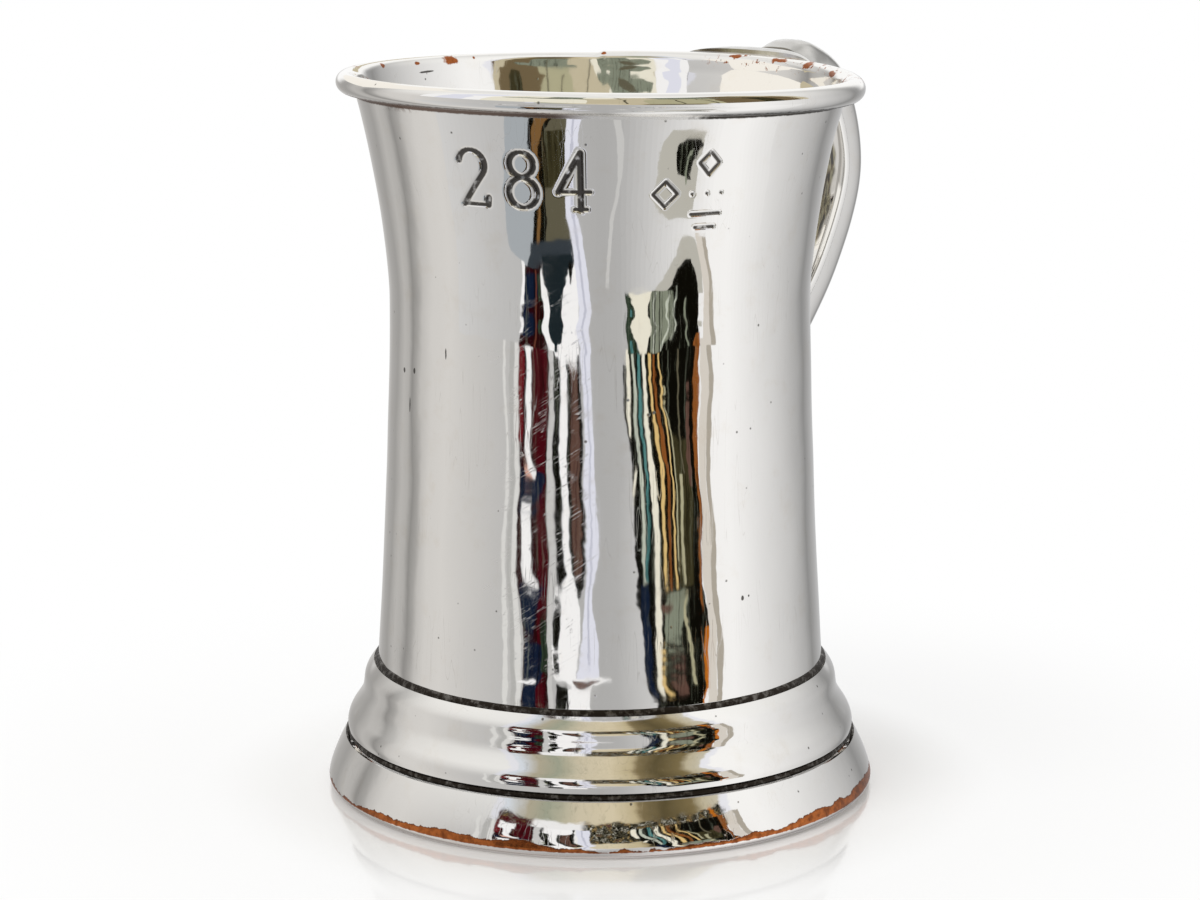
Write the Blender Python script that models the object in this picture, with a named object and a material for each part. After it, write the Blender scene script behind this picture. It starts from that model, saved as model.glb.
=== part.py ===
"""Silver-plated beer mug with a waisted barrel, a moulded base and a hollow D-section handle.

Units are metres and +Z is up. The mug stands on z = 0 with its handle towards +X. The origin
lies on the table at the middle of the whole object, so the mug's own axis is at x = AXIS_X.
Profiles are written as (radius, height) from the mug's own axis.
"""

import math

import bmesh
import bpy
from mathutils import Vector

MM = 0.001

# Fits shared by all pieces
SEAT_GAP = 0.3 * MM
SEGMENTS = 48

# Stack of heights from the table up to the brim
FOOT_HEIGHT = 7.7 * MM
LOWER_SEAM = 0.8 * MM
SKIRT_HEIGHT = 10.5 * MM
UPPER_SEAM = 0.9 * MM
BARREL_HEIGHT = 88.1 * MM

# Skirt: pressed moulding round the barrel's lower end, measured from its top edge
SKIRT_TOP_RADIUS = 34.4 * MM
SKIRT_SHEET = 0.7 * MM
SKIRT_ROLL_OUT = 1.5 * MM
SKIRT_ROLL_DROP = 2.4 * MM
SKIRT_COVE_OUT = 1.45 * MM
SKIRT_COVE_DROP = 4.0 * MM
SKIRT_BELLY_OUT = 4.2 * MM
SKIRT_BELLY_RISE = 0.9 * MM
SKIRT_BOTTOM_OUT = 4.1 * MM

# Foot ring: heavier sheet, spread outwards from the skirt and turned in flat underneath
FOOT_SHEET = 1.0 * MM
FOOT_LEDGE = 0.45 * MM
FOOT_SPREAD = 2.6 * MM
FOOT_EDGE_HEIGHT = 1.3 * MM
FOOT_SPREAD_POWER = 1.35
FOOT_FLANGE_WIDTH = 2.4 * MM

# Barrel: one sheet, waisted, flared to the mouth and rolled over a wire
BARREL_SHEET = 0.6 * MM
SHOULDER_SET_IN = 0.6 * MM
WAIST_DRAW_IN = 2.4 * MM
WAIST_RISE = 55.1 * MM
MOUTH_FLARE = 7.5 * MM
BEAD_RADIUS = 1.5 * MM
ROLL_START = math.radians(166)
ROLL_END = math.radians(-120)
LOWER_TAPER_POWER = 1.5
LEDGE_DROP = 1.1 * MM
SPIGOT_LENGTH = 5.0 * MM

# Floor of the mug, let in from above onto the ledge over the spigot
FLOOR_THICKNESS = 0.8 * MM
FLOOR_DOME = 0.6 * MM
FLOOR_RIM_WIDTH = 6.9 * MM

# Solder runs that hold the base together
UPPER_SOLDER_SEAT = 0.5 * MM
UPPER_SOLDER_HEIGHT = 1.6 * MM
LOWER_SOLDER_WIDTH = 0.6 * MM
LOWER_SOLDER_LAP = 0.8 * MM

# Handle: flat strap inside, half-round shell outside, both bent along one crown line
HANDLE_WIDTH_TOP = 10.8 * MM
HANDLE_WIDTH_END = 9.2 * MM
HANDLE_DEPTH_TOP = 7.4 * MM
HANDLE_DEPTH_END = 6.75 * MM
HANDLE_SHELL_WALL = 0.8 * MM
HANDLE_STRAP_THICKNESS = 1.1 * MM
HANDLE_EDGE_ROUND = 0.35 * MM
HANDLE_FULLNESS = 0.6
HANDLE_STATIONS = 28

# Crown line of the handle: how far out of the lip, and above or below the brim, it passes
HANDLE_START_OUT = 4.7 * MM
HANDLE_START_RISE = 0.9 * MM
HANDLE_CREST_OUT = 10.4 * MM
HANDLE_CREST_RISE = 1.6 * MM
HANDLE_BEND_OUT = 19.7 * MM
HANDLE_BEND_DROP = 4.4 * MM
HANDLE_REACH_OUT = 24.3 * MM
HANDLE_REACH_DROP = 19.6 * MM
HANDLE_ELBOW_OUT = 17.5 * MM
HANDLE_ELBOW_DROP = 36.2 * MM
HANDLE_END_DROP = 53.6 * MM
HANDLE_END_STANDOFF = 9.65 * MM

# Root of the handle: a flared saddle that laps the rolled lip
ROOT_HALF_WIDTH = 15.5 * MM
ROOT_FULLNESS = 0.42
ROOT_TOP_RISE = 1.2 * MM
ROOT_LIP_RISE = 0.75 * MM
ROOT_LAP = 2.2 * MM
ROOT_STATIONS = 7

# Solder collar round the handle's lower end
COLLAR_WIDTH = 1.0 * MM
COLLAR_HEIGHT = 1.3 * MM

# Inner radius of the cutter that fits the handle to the barrel
CLEARANCE_CORE = 12.0 * MM

# Finish: base colours
SILVER = (0.78, 0.76, 0.72)
SOLDER = (0.42, 0.40, 0.37)
COPPER = (0.72, 0.42, 0.28)

# Heights worked out from the sizes above
SKIRT_BOTTOM = FOOT_HEIGHT + LOWER_SEAM
SKIRT_TOP = SKIRT_BOTTOM + SKIRT_HEIGHT
SHOULDER_HEIGHT = SKIRT_TOP + UPPER_SEAM
BRIM_HEIGHT = SHOULDER_HEIGHT + BARREL_HEIGHT
WAIST_HEIGHT = SHOULDER_HEIGHT + WAIST_RISE
BEAD_CENTRE_HEIGHT = BRIM_HEIGHT - BEAD_RADIUS
LEDGE_HEIGHT = SHOULDER_HEIGHT - LEDGE_DROP
FLOOR_UNDERSIDE = LEDGE_HEIGHT + BARREL_SHEET / 2 + SEAT_GAP
FLOOR_TOP = FLOOR_UNDERSIDE + FLOOR_THICKNESS

# Radii worked out from the sizes above
SHOULDER_RADIUS = SKIRT_TOP_RADIUS - SHOULDER_SET_IN
WAIST_RADIUS = SHOULDER_RADIUS - WAIST_DRAW_IN
LIP_RADIUS = WAIST_RADIUS + MOUTH_FLARE
BEAD_CENTRE_RADIUS = LIP_RADIUS - BEAD_RADIUS
BEAD_WIRE_RADIUS = BEAD_RADIUS - BARREL_SHEET - SEAT_GAP
SPIGOT_RADIUS = SKIRT_TOP_RADIUS - SKIRT_SHEET - UPPER_SOLDER_SEAT - 2 * SEAT_GAP
FLOOR_RADIUS = SHOULDER_RADIUS - BARREL_SHEET - SEAT_GAP
SKIRT_BOTTOM_RADIUS = SKIRT_TOP_RADIUS + SKIRT_BOTTOM_OUT
FOOT_TOP_RADIUS = SKIRT_BOTTOM_RADIUS + FOOT_LEDGE
FOOT_EDGE_RADIUS = FOOT_TOP_RADIUS + FOOT_SPREAD
HANDLE_REACH_RADIUS = LIP_RADIUS + HANDLE_REACH_OUT
AXIS_X = (FOOT_EDGE_RADIUS - HANDLE_REACH_RADIUS) / 2


def clear_scene():
    """Removes whatever the scene holds."""
    for obj in list(bpy.data.objects):
        bpy.data.objects.remove(obj, do_unlink=True)


def make_material(name, colour, metallic, roughness):
    """Returns a Principled material with the given plain values."""
    material = bpy.data.materials.new(name)
    material.use_nodes = True
    shader = material.node_tree.nodes["Principled BSDF"]
    shader.inputs["Base Color"].default_value = (*colour, 1.0)
    shader.inputs["Metallic"].default_value = metallic
    shader.inputs["Roughness"].default_value = roughness
    return material


def finish(name, bm, material):
    """Turns a bmesh into a smooth-shaded object with outward faces."""
    bmesh.ops.recalc_face_normals(bm, faces=bm.faces)
    mesh = bpy.data.meshes.new(name)
    bm.to_mesh(mesh)
    bm.free()
    mesh.shade_smooth()
    mesh.set_sharp_from_angle(angle=math.radians(35))
    mesh.materials.append(material)
    obj = bpy.data.objects.new(name, mesh)
    bpy.context.collection.objects.link(obj)
    return obj


def turned(name, outline, material):
    """Spins a closed (radius, height) outline once round the mug's axis."""
    bm = bmesh.new()
    verts = [bm.verts.new((AXIS_X + r, 0.0, z)) for r, z in outline]
    edges = [bm.edges.new((a, b)) for a, b in zip(verts, verts[1:] + verts[:1])]
    bmesh.ops.spin(bm, geom=verts + edges, cent=(AXIS_X, 0.0, 0.0), axis=(0.0, 0.0, 1.0),
                   angle=math.tau, steps=SEGMENTS, use_duplicate=False)
    bmesh.ops.remove_doubles(bm, verts=bm.verts, dist=0.001 * MM)
    return finish(name, bm, material)


def turned_disc(name, top_line, bottom_line, material):
    """Spins a disc whose top and bottom lines both start on the axis."""
    bm = bmesh.new()
    line = top_line + bottom_line[::-1]
    verts = [bm.verts.new((AXIS_X + r, 0.0, z)) for r, z in line]
    edges = [bm.edges.new((a, b)) for a, b in zip(verts, verts[1:])]
    bmesh.ops.spin(bm, geom=verts + edges, cent=(AXIS_X, 0.0, 0.0), axis=(0.0, 0.0, 1.0),
                   angle=math.tau, steps=SEGMENTS, use_duplicate=False)
    bmesh.ops.remove_doubles(bm, verts=bm.verts, dist=0.001 * MM)
    return finish(name, bm, material)


def lofted(name, rings, material):
    """Skins a row of closed rings of equal length and caps both ends."""
    bm = bmesh.new()
    rows = [[bm.verts.new(point) for point in ring] for ring in rings]
    count = len(rows[0])
    for near, far in zip(rows, rows[1:]):
        for i in range(count):
            j = (i + 1) % count
            bm.faces.new((near[i], near[j], far[j], far[i]))
    bm.faces.new(rows[0][::-1])
    bm.faces.new(rows[-1])
    return finish(name, bm, material)


def cut(target, cutter, operation='DIFFERENCE'):
    """Takes the cutter out of the target, or keeps what both share, and hides the cutter."""
    cutter.hide_render = True
    cutter.display_type = 'WIRE'
    modifier = target.modifiers.new("cut", 'BOOLEAN')
    modifier.operation = operation
    modifier.solver = 'EXACT'
    modifier.object = cutter


def normals_of(line):
    """Unit normals to the left of travel at each point of an open line."""
    normals = []
    for i in range(len(line)):
        before = line[max(i - 1, 0)]
        after = line[min(i + 1, len(line) - 1)]
        dr = after[0] - before[0]
        dz = after[1] - before[1]
        length = math.hypot(dr, dz)
        normals.append((-dz / length, dr / length))
    return normals


def offset(line, distance):
    """Moves an open line to the left of its travel."""
    return [(r + nr * distance, z + nz * distance)
            for (r, z), (nr, nz) in zip(line, normals_of(line))]


def arc(centre, radius, start, end, steps):
    """Points on a circle from one angle to another, both ends included."""
    return [(centre[0] + radius * math.cos(start + (end - start) * i / steps),
             centre[1] + radius * math.sin(start + (end - start) * i / steps))
            for i in range(steps + 1)]


def ease(t):
    """Smooth step from 0 to 1."""
    return t * t * (3.0 - 2.0 * t)


def barrel_radius(z):
    """Radius of the middle of the barrel's sheet between the shoulder and the roll."""
    roll_middle = BEAD_RADIUS - BARREL_SHEET / 2
    waist = WAIST_RADIUS - BARREL_SHEET / 2
    if z < WAIST_HEIGHT:
        share = (WAIST_HEIGHT - z) / (WAIST_HEIGHT - SHOULDER_HEIGHT)
        return waist + (SHOULDER_RADIUS - WAIST_RADIUS) * share ** LOWER_TAPER_POWER
    mouth = BEAD_CENTRE_RADIUS + roll_middle * math.cos(ROLL_START)
    rise = BEAD_CENTRE_HEIGHT + roll_middle * math.sin(ROLL_START) - WAIST_HEIGHT
    power = math.tan(math.pi - ROLL_START) * rise / (mouth - waist)
    return waist + (mouth - waist) * ((z - WAIST_HEIGHT) / rise) ** power


def barrel_line():
    """Middle of the barrel's sheet, from the spigot's end up to the edge inside the roll."""
    roll_middle = BEAD_RADIUS - BARREL_SHEET / 2
    spigot = SPIGOT_RADIUS - BARREL_SHEET / 2
    shoulder = SHOULDER_RADIUS - BARREL_SHEET / 2
    line = [(spigot, LEDGE_HEIGHT - SPIGOT_LENGTH)]
    turn = (shoulder - spigot) / 2
    line += arc((spigot + turn, LEDGE_HEIGHT - turn), turn, math.pi, math.pi / 2, 3)
    line += arc((shoulder - turn, LEDGE_HEIGHT + turn), turn, -math.pi / 2, 0.0, 3)[1:]
    line += [(barrel_radius(z), z) for z in wall_heights()]
    line += arc((BEAD_CENTRE_RADIUS, BEAD_CENTRE_HEIGHT), roll_middle, ROLL_START, ROLL_END, 11)
    return line


def sheet(line, thickness):
    """Closed outline of a sheet whose middle follows the line."""
    return offset(line, thickness / 2) + offset(line, -thickness / 2)[::-1]


def skirt_line():
    """Outer face of the skirt from its top edge down to its bottom edge."""
    line = []
    for i in range(4):
        turn = math.pi / 2 * i / 3
        line.append((SKIRT_TOP_RADIUS + SKIRT_ROLL_OUT * math.sin(turn),
                     SKIRT_TOP - SKIRT_ROLL_DROP * (1.0 - math.cos(turn))))
    cove_fall = SKIRT_HEIGHT - SKIRT_COVE_DROP - SKIRT_BELLY_RISE
    for i in range(7):
        share = i / 6
        out = SKIRT_COVE_OUT + (SKIRT_BELLY_OUT - SKIRT_COVE_OUT) * ease(share)
        line.append((SKIRT_TOP_RADIUS + out, SKIRT_TOP - SKIRT_COVE_DROP - cove_fall * share))
    line.append((SKIRT_BOTTOM_RADIUS, SKIRT_BOTTOM))
    return line


def foot_line():
    """Outer face of the foot ring from its top edge to the inner edge of its flange."""
    line = []
    for i in range(5):
        share = i / 4
        z = FOOT_HEIGHT + (FOOT_EDGE_HEIGHT - FOOT_HEIGHT) * share
        spread = FOOT_SPREAD * (1.0 - (1.0 - share) ** FOOT_SPREAD_POWER)
        line.append((FOOT_TOP_RADIUS + spread, z))
    tuck = FOOT_EDGE_HEIGHT
    line += arc((FOOT_EDGE_RADIUS - tuck, tuck), tuck, 0.0, -math.pi / 2, 3)[1:]
    line.append((FOOT_EDGE_RADIUS - tuck - FOOT_FLANGE_WIDTH, 0.0))
    return line


def catmull_rom(points, steps):
    """Smooth curve through the points, with the given steps on each stretch."""
    padded = [points[0] * 2 - points[1]] + points + [points[-1] * 2 - points[-2]]
    curve = []
    for p0, p1, p2, p3 in zip(padded, padded[1:], padded[2:], padded[3:]):
        for i in range(steps):
            t = i / steps
            curve.append(((p1 * 2) + (p2 - p0) * t + (p0 * 2 - p1 * 5 + p2 * 4 - p3) * t ** 2
                          + (p1 * 3 - p0 - p2 * 3 + p3) * t ** 3) / 2)
    curve.append(points[-1])
    return curve


def even_steps(curve, count):
    """Resamples a curve to equally long steps."""
    lengths = [0.0]
    for a, b in zip(curve, curve[1:]):
        lengths.append(lengths[-1] + (b - a).length)
    result = []
    k = 0
    for i in range(count + 1):
        wanted = lengths[-1] * i / count
        while k < len(curve) - 2 and lengths[k + 1] < wanted:
            k += 1
        share = (wanted - lengths[k]) / (lengths[k + 1] - lengths[k])
        result.append(curve[k].lerp(curve[k + 1], min(share, 1.0)))
    return result


def crown_line():
    """Crown of the handle as (radius, height) points, the last of them inside the barrel."""
    end_height = BRIM_HEIGHT - HANDLE_END_DROP
    end_radius = barrel_radius(end_height) + BARREL_SHEET / 2 + HANDLE_END_STANDOFF
    points = [Vector((LIP_RADIUS + HANDLE_START_OUT, BRIM_HEIGHT + HANDLE_START_RISE)),
              Vector((LIP_RADIUS + HANDLE_CREST_OUT, BRIM_HEIGHT + HANDLE_CREST_RISE)),
              Vector((LIP_RADIUS + HANDLE_BEND_OUT, BRIM_HEIGHT - HANDLE_BEND_DROP)),
              Vector((HANDLE_REACH_RADIUS, BRIM_HEIGHT - HANDLE_REACH_DROP)),
              Vector((LIP_RADIUS + HANDLE_ELBOW_OUT, BRIM_HEIGHT - HANDLE_ELBOW_DROP)),
              Vector((end_radius, end_height))]
    slope = points[-1] - points[-2]
    buried_radius = WAIST_RADIUS - HANDLE_WIDTH_END / 2
    buried = points[-1] + slope * ((buried_radius - end_radius) / slope.x)
    curve = even_steps(catmull_rom(points + [buried], 12)[:-12], HANDLE_STATIONS)
    return [(point.x, point.y) for point in curve + [buried]]


def handle_rings(section):
    """Places a section along the crown line; the section depends on half width and depth."""
    line = crown_line()
    rings = []
    for i, ((r, z), (nr, nz)) in enumerate(zip(line, normals_of(line))):
        share = min(i / HANDLE_STATIONS, 1.0)
        half = (HANDLE_WIDTH_TOP + (HANDLE_WIDTH_END - HANDLE_WIDTH_TOP) * share) / 2
        depth = HANDLE_DEPTH_TOP + (HANDLE_DEPTH_END - HANDLE_DEPTH_TOP) * share
        ring = []
        for side, height in section(half, depth):
            rise = height - depth
            ring.append((AXIS_X + r + nr * rise, side, z + nz * rise))
        rings.append(ring)
    return rings


def dome(half, depth, start, steps, fullness=HANDLE_FULLNESS):
    """Half-round line over the handle from one side to the other, starting at a given height."""
    lowest = math.asin((start / depth) ** (1.0 / fullness))
    points = []
    for i in range(steps + 1):
        angle = lowest + (math.pi - 2 * lowest) * i / steps
        cosine = math.cos(angle)
        side = math.copysign(abs(cosine) ** fullness, cosine)
        points.append((half * side, depth * abs(math.sin(angle)) ** fullness))
    return points


def shell_section(half, depth):
    """Open half-round channel that sits on the strap."""
    foot = HANDLE_STRAP_THICKNESS + SEAT_GAP
    outer = dome(half, depth, foot, 12)
    inner = dome(half - HANDLE_SHELL_WALL, depth - HANDLE_SHELL_WALL, foot, 8)
    return outer + inner[::-1]


def strap_section(half, depth):
    """Flat strap with its two lower edges eased."""
    return [(half, HANDLE_STRAP_THICKNESS), (-half, HANDLE_STRAP_THICKNESS),
            (-half, HANDLE_EDGE_ROUND), (-half + HANDLE_EDGE_ROUND, 0.0),
            (half - HANDLE_EDGE_ROUND, 0.0), (half, HANDLE_EDGE_ROUND)]


def grown_section(margin):
    """Section of shell and strap together, grown by a margin all round."""
    def section(half, depth):
        crown = dome(half + margin, depth + 2 * margin, 0.0, 12)
        return [(side, height - margin) for side, height in crown]
    return section


def wall_heights():
    """Heights at which the barrel's wall has its rings, from the shoulder to the waist and up."""
    low = [SHOULDER_HEIGHT + (WAIST_HEIGHT - SHOULDER_HEIGHT) * i / 4 for i in range(5)]
    top = BEAD_CENTRE_HEIGHT + (BEAD_RADIUS - BARREL_SHEET / 2) * math.sin(ROLL_START)
    return low + [WAIST_HEIGHT + (top - WAIST_HEIGHT) * i / 6 for i in range(1, 6)]


def barrel_clearance(material):
    """Cutter that leaves the seat gap outside the barrel's wall and its rolled lip."""
    under_bead = BEAD_CENTRE_HEIGHT - BEAD_RADIUS - SEAT_GAP
    wall = [(barrel_radius(z) + BARREL_SHEET / 2 + SEAT_GAP, z)
            for z in wall_heights() + [under_bead]]
    bead = arc((BEAD_CENTRE_RADIUS, BEAD_CENTRE_HEIGHT), BEAD_RADIUS + SEAT_GAP,
               ROLL_END, ROLL_START, 16)
    outline = [(CLEARANCE_CORE, SHOULDER_HEIGHT)] + wall + bead + [(CLEARANCE_CORE, bead[-1][1])]
    return turned("barrel_clearance", outline, material)


def root_rings():
    """Rings of the handle's root, from the D section to the flare that follows the rim."""
    line = crown_line()
    lean = Vector(normals_of(line)[0])
    along = Vector((lean.y, -lean.x))
    start = Vector(line[0]) - along * SEAT_GAP
    upright = Vector((0.0, 1.0))
    half_start = HANDLE_WIDTH_TOP / 2
    rings = []
    for i in range(ROOT_STATIONS + 1):
        share = i / ROOT_STATIONS
        spread = ease(share)
        half = half_start + (ROOT_HALF_WIDTH - half_start) * spread
        rise = lean.lerp(upright, min(2 * share, 1.0)).normalized()
        crown = start + Vector((LIP_RADIUS - ROOT_LAP - start.x, 0.0)) * share
        crown.y += (BRIM_HEIGHT + ROOT_TOP_RISE - start.y) * min(2 * share, 1.0)
        if share > 0.5:
            crown.y += (ROOT_LIP_RISE - ROOT_TOP_RISE) * ease(2 * share - 1.0)
        ring = []
        fullness = HANDLE_FULLNESS + (ROOT_FULLNESS - HANDLE_FULLNESS) * spread
        for side, height in dome(half, HANDLE_DEPTH_TOP, 0.0, 14, fullness):
            radius = crown.x + rise.x * (height - HANDLE_DEPTH_TOP)
            turn = side / LIP_RADIUS
            flat = Vector((radius, side))
            curved = Vector((radius * math.cos(turn), radius * math.sin(turn)))
            place = flat.lerp(curved, spread)
            z = crown.y + rise.y * (height - HANDLE_DEPTH_TOP)
            ring.append((AXIS_X + place.x, place.y, z))
        rings.append(ring)
    return rings


def make_barrel(silver):
    """Waisted barrel with its rolled lip and the spigot that enters the skirt."""
    return turned("barrel", sheet(barrel_line(), BARREL_SHEET), silver)


def make_rim_wire(copper):
    """Wire inside the rolled lip."""
    outline = arc((BEAD_CENTRE_RADIUS, BEAD_CENTRE_HEIGHT), BEAD_WIRE_RADIUS, 0.0, math.tau, 6)
    return turned("rim_wire", outline[:-1], copper)


def make_floor(silver):
    """Slightly domed disc that closes the barrel above the ledge."""
    chamfer = FLOOR_THICKNESS / 2
    dome_radius = FLOOR_RADIUS - FLOOR_RIM_WIDTH
    domed = [(dome_radius * i / 3, FLOOR_DOME * (1.0 - (i / 3) ** 2)) for i in range(4)]
    top = [(r, FLOOR_TOP + rise) for r, rise in domed]
    top += [(FLOOR_RADIUS, FLOOR_TOP), (FLOOR_RADIUS, FLOOR_UNDERSIDE + chamfer)]
    bottom = [(r, FLOOR_UNDERSIDE + rise) for r, rise in domed]
    bottom += [(FLOOR_RADIUS - chamfer, FLOOR_UNDERSIDE)]
    return turned_disc("floor_disc", top, bottom, silver)


def make_skirt(silver):
    """Moulded skirt between the barrel and the foot ring."""
    line = skirt_line()
    return turned("skirt_moulding", line + offset(line, -SKIRT_SHEET)[::-1], silver)


def upper_stretch(line, lowest):
    """Part of a falling line that lies above a height, ending exactly at that height."""
    kept = [line[0]]
    for (r0, z0), (r1, z1) in zip(line, line[1:]):
        if z1 <= lowest:
            share = (z0 - lowest) / (z0 - z1)
            return kept + [(r0 + (r1 - r0) * share, lowest)]
        kept.append((r1, z1))
    return kept


def make_upper_solder(solder):
    """Solder run that fills the corner between the spigot and the skirt's top."""
    inside = offset(skirt_line(), -SKIRT_SHEET - SEAT_GAP)
    lowest = inside[0][1] - UPPER_SOLDER_HEIGHT
    outer = upper_stretch(inside, lowest)
    inner = SPIGOT_RADIUS + SEAT_GAP
    return turned("upper_solder", outer + [(inner, lowest), (inner, outer[0][1])], solder)


def make_foot(silver):
    """Spread foot ring with its flat turned-in flange."""
    line = foot_line()
    return turned("foot_ring", line + offset(line, -FOOT_SHEET)[::-1], silver)


def make_lower_solder(solder):
    """Solder band behind the seam, lapping the skirt and the foot ring from inside."""
    skirt_inside = SKIRT_TOP_RADIUS + SKIRT_BELLY_OUT - SKIRT_SHEET
    edge = min(skirt_inside, FOOT_TOP_RADIUS - FOOT_SHEET) - SEAT_GAP
    inner = edge - LOWER_SOLDER_WIDTH
    low = FOOT_HEIGHT - LOWER_SOLDER_LAP
    high = SKIRT_BOTTOM + LOWER_SOLDER_LAP
    corner = LOWER_SOLDER_WIDTH / 2
    outline = [(edge, high), (edge, low), (inner + corner, low), (inner, low + corner),
               (inner, high - corner), (inner + corner, high)]
    return turned("lower_solder", outline, solder)


def barrel_sleeve(material):
    """Thin jacket just outside the barrel that gives the collar its height."""
    near = BARREL_SHEET / 2 + SEAT_GAP
    inner = [(barrel_radius(z) + near, z) for z in wall_heights()]
    outer = [(r + COLLAR_HEIGHT, z) for r, z in inner]
    return turned("barrel_sleeve", inner + outer[::-1], material)


def collar_rings(margin):
    """The handle's outline where it enters the barrel, grown by a margin."""
    return handle_rings(grown_section(margin))[-3:]


def make_handle(silver, solder):
    """Shell, strap, flared root and the solder collar at the lower end."""
    clearance = barrel_clearance(solder)
    shell = lofted("handle_shell", handle_rings(shell_section), silver)
    cut(shell, clearance)
    strap = lofted("handle_strap", handle_rings(strap_section), silver)
    cut(strap, clearance)
    root = lofted("handle_root", root_rings(), silver)
    cut(root, clearance)
    collar = lofted("handle_collar", collar_rings(COLLAR_WIDTH), solder)
    cut(collar, barrel_sleeve(solder), 'INTERSECT')
    cut(collar, lofted("handle_space", collar_rings(SEAT_GAP), solder))


def main():
    """Builds every piece of the mug."""
    clear_scene()
    silver = make_material("silver_plate", SILVER, 1.0, 0.12)
    solder = make_material("solder", SOLDER, 1.0, 0.45)
    copper = make_material("wire", COPPER, 1.0, 0.3)
    make_barrel(silver)
    make_rim_wire(copper)
    make_floor(silver)
    make_upper_solder(solder)
    make_skirt(silver)
    make_lower_solder(solder)
    make_foot(silver)
    make_handle(silver, solder)


main()
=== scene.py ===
"""Looks of the silver-plated beer mug, laid out as a Blender add-on.

Each operator makes one piece, or one group of like pieces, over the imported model. Lengths are in
metres and +Z is up. Turns are measured round the mug's own axis from its front, the side with the
struck marks, and grow to the right as seen from there. Profiles are (radius, height) points.
"""

import math

import bmesh
import bpy
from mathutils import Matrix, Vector, noise


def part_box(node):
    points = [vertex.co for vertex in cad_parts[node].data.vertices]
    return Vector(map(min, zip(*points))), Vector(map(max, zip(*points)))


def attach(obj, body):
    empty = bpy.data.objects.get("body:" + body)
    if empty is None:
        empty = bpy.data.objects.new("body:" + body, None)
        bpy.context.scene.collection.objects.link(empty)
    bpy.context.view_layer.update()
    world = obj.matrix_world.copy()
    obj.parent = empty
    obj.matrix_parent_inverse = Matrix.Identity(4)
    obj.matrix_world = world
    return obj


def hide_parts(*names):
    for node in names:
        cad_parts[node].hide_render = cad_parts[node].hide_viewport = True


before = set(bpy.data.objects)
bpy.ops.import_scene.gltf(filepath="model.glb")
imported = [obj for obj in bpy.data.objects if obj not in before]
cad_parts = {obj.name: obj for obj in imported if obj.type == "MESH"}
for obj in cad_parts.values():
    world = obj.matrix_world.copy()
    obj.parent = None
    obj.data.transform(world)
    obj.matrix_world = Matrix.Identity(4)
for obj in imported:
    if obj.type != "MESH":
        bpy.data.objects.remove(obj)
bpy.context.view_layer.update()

bl_info = {
    "name": "Silver-plated beer mug",
    "version": (1, 0, 0),
    "blender": (4, 5, 0),
    "location": "3D View > Sidebar > Mug",
    "description": "Builds the mug's finely modelled pieces, their finishes and a small studio",
    "category": "Object",
}

MM = 0.001

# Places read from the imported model
BARREL_LOW, BARREL_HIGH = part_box("barrel")
FLOOR_LOW, FLOOR_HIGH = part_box("floor_disc")
SKIRT_LOW, SKIRT_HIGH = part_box("skirt_moulding")
FOOT_LOW, FOOT_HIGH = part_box("foot_ring")
WIRE_LOW, WIRE_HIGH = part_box("rim_wire")
AXIS_X = (FOOT_LOW[0] + FOOT_HIGH[0]) / 2

# The front of the mug, as an angle from +X, and the way across it to the right
FRONT_ANGLE = math.radians(39.5 - 180.0)
FRONT_WAY = Vector((math.cos(FRONT_ANGLE), math.sin(FRONT_ANGLE), 0.0))
RIGHT_WAY = Vector((-FRONT_WAY.y, FRONT_WAY.x, 0.0))

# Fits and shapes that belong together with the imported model
SEAT_GAP = 0.3 * MM
SOLDERED_GAP = 0.03 * MM
SOLDER_BITE = 0.08 * MM
ROOT_STEP_BACK = 0.85 * MM
ROLL_START = math.radians(166)
ROLL_END = math.radians(-120)
LOWER_TAPER_POWER = 1.5
LEDGE_DROP = 1.1 * MM
SPIGOT_RADIUS = 32.6 * MM
SKIRT_SHEET = 0.7 * MM
SKIRT_PROFILE = ((0.10, 0.0), (0.66, 0.7), (1.13, 1.4), (1.44, 2.1), (1.58, 2.9), (1.67, 3.7),
                 (1.81, 4.5), (2.10, 5.3), (2.55, 6.1), (3.07, 6.9), (3.60, 7.7), (3.97, 8.5),
                 (4.17, 9.4), (4.12, 10.2))
FOOT_SHEET = 1.0 * MM
FOOT_SPREAD = 2.6 * MM
FOOT_EDGE_HEIGHT = 1.3 * MM
FOOT_SPREAD_POWER = 1.35
FOOT_FLANGE_WIDTH = 2.4 * MM
FLOOR_DOME = 0.6 * MM
FLOOR_RIM_WIDTH = 6.9 * MM
SHELL_WALL = 0.8 * MM
STRAP_THICKNESS = 1.1 * MM
STRAP_EDGE_ROUND = 0.35 * MM
HANDLE_FULLNESS = 0.6
ROOT_FULLNESS = 0.42
ROOT_TOP_RISE = 1.2 * MM
ROOT_LIP_RISE = 0.75 * MM
ROOT_LAP = 2.2 * MM
COLLAR_WIDTH = 1.0 * MM
COLLAR_HEIGHT = 1.3 * MM

# Crown line of the handle, from the lip (out) and from the brim (up)
HANDLE_CROWN = [(4.7, 0.9), (10.4, 1.6), (19.7, -4.4), (24.3, -19.6), (17.5, -36.2)]
HANDLE_END_DROP = 53.6 * MM
HANDLE_END_STANDOFF = 9.65 * MM

# Radii of the three coloured panels that the metal sees
LOW_PANEL_RADIUS = 160.0 * MM
HIGH_PANEL_RADIUS = 62.0 * MM
TOP_PANEL_RADIUS = 62.5 * MM

# A strip whose first or last row lies between two heights runs on to a third, in millimetres
FIRST_ROW_ENDS = [(50.0, 60.0, 64.0), (127.0, 132.0, 112.0)]
LAST_ROW_ENDS = [(-10.0, 1.0, -14.0), (144.0, 160.0, 184.0), (67.0, 68.4, 67.2)]

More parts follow.
